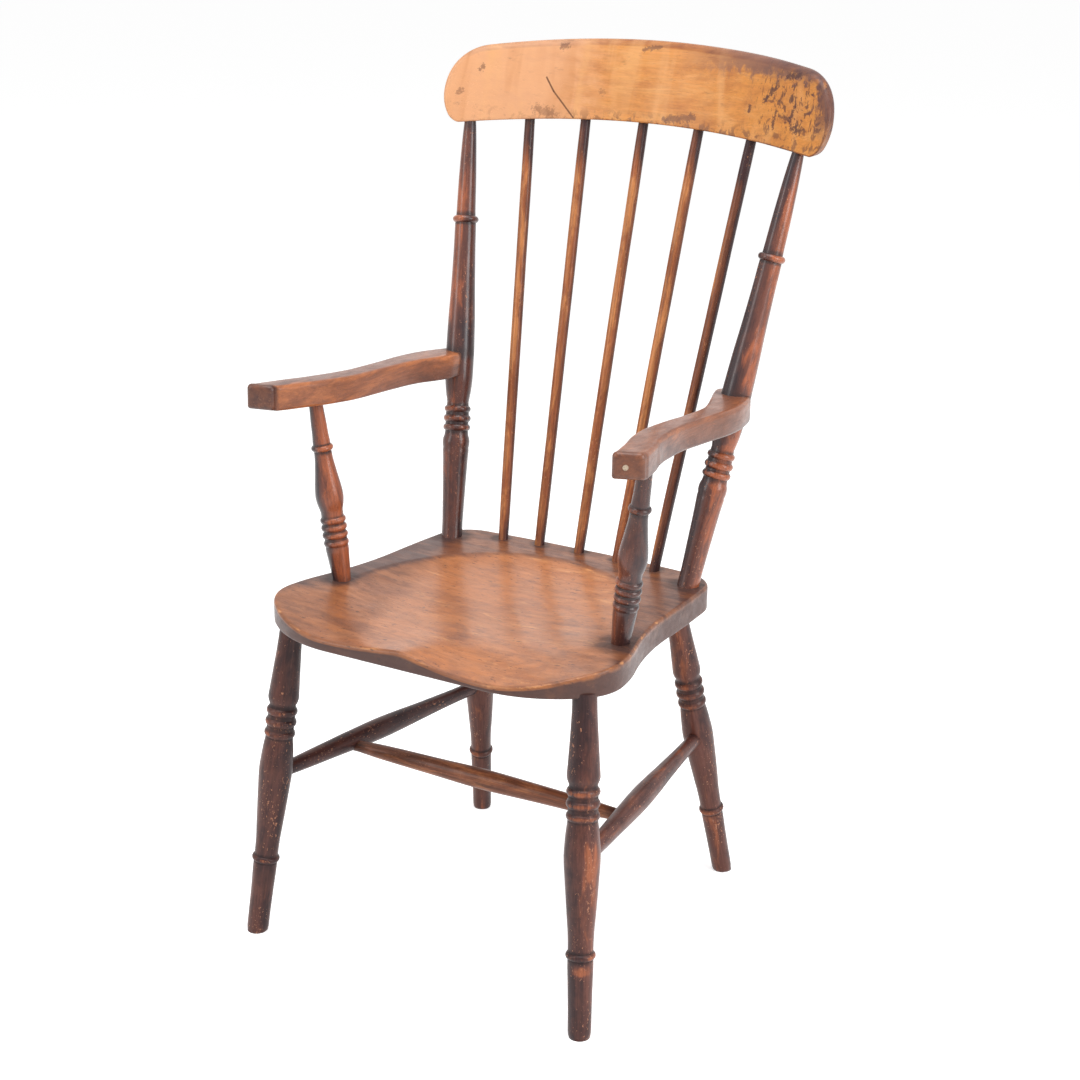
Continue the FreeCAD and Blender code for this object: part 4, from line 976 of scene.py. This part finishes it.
ARM_THICK = 31.5
ARM_TOP = 682.6
ARM_RISE = 0.0607
POST_AT_ARM = (202.1, 137.3)
ARM_OUTER = [
    # distance from the chair's middle, and behind the post's, in millimetres
    (271.5, -358.5), (266, -335), (259, -310), (251, -286), (244.5, -257), (240, -226), (238, -197),
    (239, -160), (241, -121), (242.5, -93), (241.5, -64), (238, -42), (232, -18), (226.5, -1.5), (219, 13),
]
ARM_INNER_LOBED = [
    (238.5, -376), (231, -350), (223, -320), (214, -290), (208, -262), (205, -232), (206, -190),
    (208, -155), (208, -120), (205, -90), (197, -62), (186, -32), (175, -4), (169, 20), (184, 31),
]
ARM_INNER_PLAIN = [
    (238.5, -356), (231, -335), (223, -310), (214, -284), (208, -258), (204.5, -230), (204.5, -190),
    (205, -155), (204.5, -120), (201, -90), (194, -66), (188.5, -44), (188, -28), (190.5, -14), (197, -2),
]
ARM_OUTER_PLAIN = [(271.5, -367), (267, -342)] + ARM_OUTER[2:]
ARM_CORNERS = (
    # share across, share up, radius in millimetres, and start angle in degrees
    (1, 1, 6.0, 0), (0, 1, 6.0, 90), (0, 0, 3.5, 180), (1, 0, 3.5, 270),
)
ARM_ENDS = (
    # share along, which way it faces, and its rounding in millimetres
    (0.0, 1, 6), (1.0, -1, 2.5),
)
ARM_STEPS = 110


def curve_at(points, share):
    """A smooth curve through points, at a share of the way along their row."""
    place = share * (len(points) - 1)
    k = min(int(place), len(points) - 2)
    f = place - k
    p1, p2 = Vector(points[k]), Vector(points[k + 1])
    p0 = Vector(points[k - 1]) if k > 0 else p1 * 2 - p2
    p3 = Vector(points[k + 2]) if k + 2 < len(points) else p2 * 2 - p1
    curve = 2 * p1 + (p2 - p0) * f + (2 * p0 - 5 * p1 + 4 * p2 - p3) * f * f
    return 0.5 * (curve + (3 * p1 - p0 - 3 * p2 + p3) * f ** 3)


def arm_row(inner, outer, side, shrink):
    """One section across an arm, its four edges rounded: each point's place, how worn it
    is, and its shares across and up."""
    wide = (outer - inner).length
    row = []
    for across, up, radius, start in ARM_CORNERS:
        for k in range(EDGE_STEPS + 1):
            turn = 90 * k / EDGE_STEPS
            angle = math.radians(start + turn)
            a = (radius if across == 0 else wide - radius) + radius * math.cos(angle)
            h = (radius if up == 0 else ARM_THICK - radius) + radius * math.sin(angle)
            a = wide / 2 + (a - wide / 2) * (1 - 2 * shrink / wide)
            h = ARM_THICK / 2 + (h - ARM_THICK / 2) * (1 - 2 * shrink / ARM_THICK)
            p = inner + (outer - inner) * (a / wide)
            z = ARM_TOP + ARM_RISE * -p.y - ARM_THICK + h + wander((p.x, p.y, side), 60, 0.5)
            x = side * (p.x + wander((p.x, p.y, h + side), 55, 0.7))
            worn = math.sin(math.radians(2 * turn)) * (0.9 if up else 0.4)
            row.append((Vector((x, POST_AT_ARM[1] + p.y, z)) * MM, worn, a / wide, h / ARM_THICK))
    return row


beech = Finish(
    "arm_beech_rubbed_with_painted_shading", "Y", stain=(140, 84, 56), bare=(176, 106, 64), deep=(82, 50, 42),
    rub=0.32, lines=0.22, blotch=0.55, specks=0.6, edge=0.18,
)
beech.stain(beech.chips, (190, 132, 98), 0.25)
arm_beech = beech.finish((46, 36, 38), roughness=0.34, coat=0.3, specular=0.35)
for side_name, side in SIDES:
    lines = (ARM_INNER_LOBED, ARM_OUTER) if side > 0 else (ARM_INNER_PLAIN, ARM_OUTER_PLAIN)
    worn_ends = []
    for share, way, end_round in ARM_ENDS:
        inner, outer = (curve_at(line, share) for line in lines)
        outward = Vector((outer.y - inner.y, inner.x - outer.x)).normalized() * way
        end = []
        for step in range(EDGE_STEPS + 1):
            angle = math.pi / 2 * step / EDGE_STEPS
            back = outward * (end_round * (1 - math.cos(angle)))
            shrink = end_round * (1 - math.sin(angle))
            end.append((arm_row(inner - back, outer - back, side, shrink), math.sin(2 * angle)))
        worn_ends.append(end)
    body = []
    for k in range(3, ARM_STEPS - 1):
        inner, outer = (curve_at(line, k / ARM_STEPS) for line in lines)
        body.append((arm_row(inner, outer, side, 0.0), None))
    rows = worn_ends[0] + body + worn_ends[1][::-1]
    verts, marks = [], []
    for row, end_worn in rows:
        for place, worn, across, up in row:
            to_post = math.dist((abs(place.x) / MM, place.y / MM), POST_AT_ARM) - POST_SWELL
            # Shade by face: the front ends and the lower parts of the sides are painted darker, painted
            # shade, and the left arm's inner side is painted lighter, painted light, but darker towards the
            # bottom at the rear.
            if end_worn is not None:
                shade = 0.65 if side < 0 else 0.35
            elif side < 0 and across < 0.15:
                shade = 1.1 * (1 - up) * within(place.y, -0.12, 0.08) - 0.4
            elif up > 0.85:
                shade = 0.25 if side < 0 else 0.05
            else:
                shade = 0.15 + 0.55 * (1 - up)
            verts.append(place)
            marks.append((max(worn, end_worn or 0.0), 1 - within(to_post, 1, 9), shade, 2.2 + side))
    faces = skin([row for row, _ in rows])
    if side < 0:
        faces = [tuple(reversed(face)) for face in faces]
    arm = new_piece("arm_board_" + side_name, verts, faces, marks, crease=50)
    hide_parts("arm_" + side_name)
    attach(arm, "root")
    arm.data.materials.append(arm_beech)


# The iron fastenings
# A countersunk screw through the back of each post into its arm, and a round
# headed tack in the end of one arm. Both are dulled iron with a little rust.

iron = bpy.data.materials.new("dulled_iron")
iron.use_nodes = True
t = iron.node_tree
rust = clouds(t, node(t, "ShaderNodeTexCoord").outputs["Object"], 700.0, 5, 0.65)
shader = t.nodes["Principled BSDF"]
metal = blend(t, ramp(t, rust, 0.5, 0.7), srgb(186, 168, 146), srgb(104, 76, 60))
t.links.new(metal, shader.inputs["Base Color"])
t.links.new(ramp(t, rust, 0.35, 0.7, 0.3, 0.7), shader.inputs["Roughness"])
t.links.new(ramp(t, rust, 0.7, 0.4), shader.inputs["Metallic"])
bump = node(t, "ShaderNodeBump", {"Height": rust, "Distance": 0.0002, "Strength": 0.6})
t.links.new(bump.outputs["Normal"], shader.inputs["Normal"])
for name in ("arm_screws", "arm_tack"):
    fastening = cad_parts[name]
    fastening.data.materials.clear()
    fastening.data.materials.append(iron)


# The room
# A pale seamless floor, broad soft lamps, and the camera where the photograph
# was taken from.

FLOOR_HALF = 30
sheet = bpy.data.meshes.new("floor")
corners = [(x * FLOOR_HALF, y * FLOOR_HALF, 0) for x, y in ((-1, -1), (1, -1), (1, 1), (-1, 1))]
sheet.from_pydata(corners, [], [(0, 1, 2, 3)])
floor = bpy.data.objects.new("studio_floor", sheet)
bpy.context.scene.collection.objects.link(floor)


def background_rays(tree):
    """1 for the rays that should meet a plain white background, 0 for the others."""
    rays = node(tree, "ShaderNodeLightPath").outputs
    others = maths(tree, "MAXIMUM", rays["Is Glossy Ray"], rays["Is Transmission Ray"])
    return maths(tree, "MAXIMUM", rays["Is Camera Ray"], others)


paper = bpy.data.materials.new("pale_paper")
paper.use_nodes = True
t = paper.node_tree
shader = t.nodes["Principled BSDF"]
shader.inputs["Base Color"].default_value = (0.9, 0.9, 0.9, 1)
shader.inputs["Roughness"].default_value = 0.9
shader.inputs["Specular IOR Level"].default_value = 0.0
shader.inputs["Emission Color"].default_value = (1, 1, 1, 1)
t.links.new(times(t, background_rays(t), 0.6), shader.inputs["Emission Strength"])
floor.data.materials.append(paper)

world = bpy.data.worlds.new("studio")
bpy.context.scene.world = world
world.use_nodes = True
t = world.node_tree
sky = t.nodes["Background"]
sky.inputs["Color"].default_value = (1, 1, 1, 1)
t.links.new(ramp(t, background_rays(t), 0, 1, 0.42, 1.0), sky.inputs["Strength"])


def lamp(name, place, aim, size, power):
    """A broad soft lamp at a place, turned towards its aim."""
    light = bpy.data.lights.new(name, "AREA")
    light.shape = "RECTANGLE"
    light.size, light.size_y = size
    light.energy = power
    holder = bpy.data.objects.new(name, light)
    bpy.context.scene.collection.objects.link(holder)
    holder.location = place
    holder.rotation_euler = (Vector(aim) - Vector(place)).to_track_quat("-Z", "Y").to_euler()


lamp("left_lamp", (-1.9, -2.5, 2.0), (0, 0, 0.6), (0.9, 2.4), 30)
lamp("right_lamp", (3.0, -0.2, 1.7), (0, 0, 0.6), (1.4, 2.0), 60)
lamp("top_lamp", (0.2, -0.4, 3.4), (0, 0, 0.3), (2.2, 2.2), 66)

CAMERA_PLACE = (1.3225, -2.223, 1.3692)
CAMERA_SWING, CAMERA_DIP, CAMERA_ROLL = 30.70, 18.74, 0.92
camera = bpy.data.cameras.new("camera")
camera.lens = 72.2
camera.sensor_width = 36
camera.shift_x = 0.0034
camera.shift_y = 0.0006
viewer = bpy.data.objects.new("camera", camera)
bpy.context.scene.collection.objects.link(viewer)
swing, dip, roll = (math.radians(a) for a in (CAMERA_SWING, CAMERA_DIP, CAMERA_ROLL))
back = Vector((math.sin(swing) * math.cos(dip), -math.cos(swing) * math.cos(dip), math.sin(dip)))
right = Vector((math.cos(swing), math.sin(swing), 0))
up = back.cross(right)
right, up = right * math.cos(roll) + up * math.sin(roll), up * math.cos(roll) - right * math.sin(roll)
pose = Matrix((right, up, back)).transposed().to_4x4()
pose.translation = CAMERA_PLACE
viewer.matrix_world = pose
bpy.context.scene.camera = viewer
bpy.context.scene.view_settings.view_transform = "Standard"
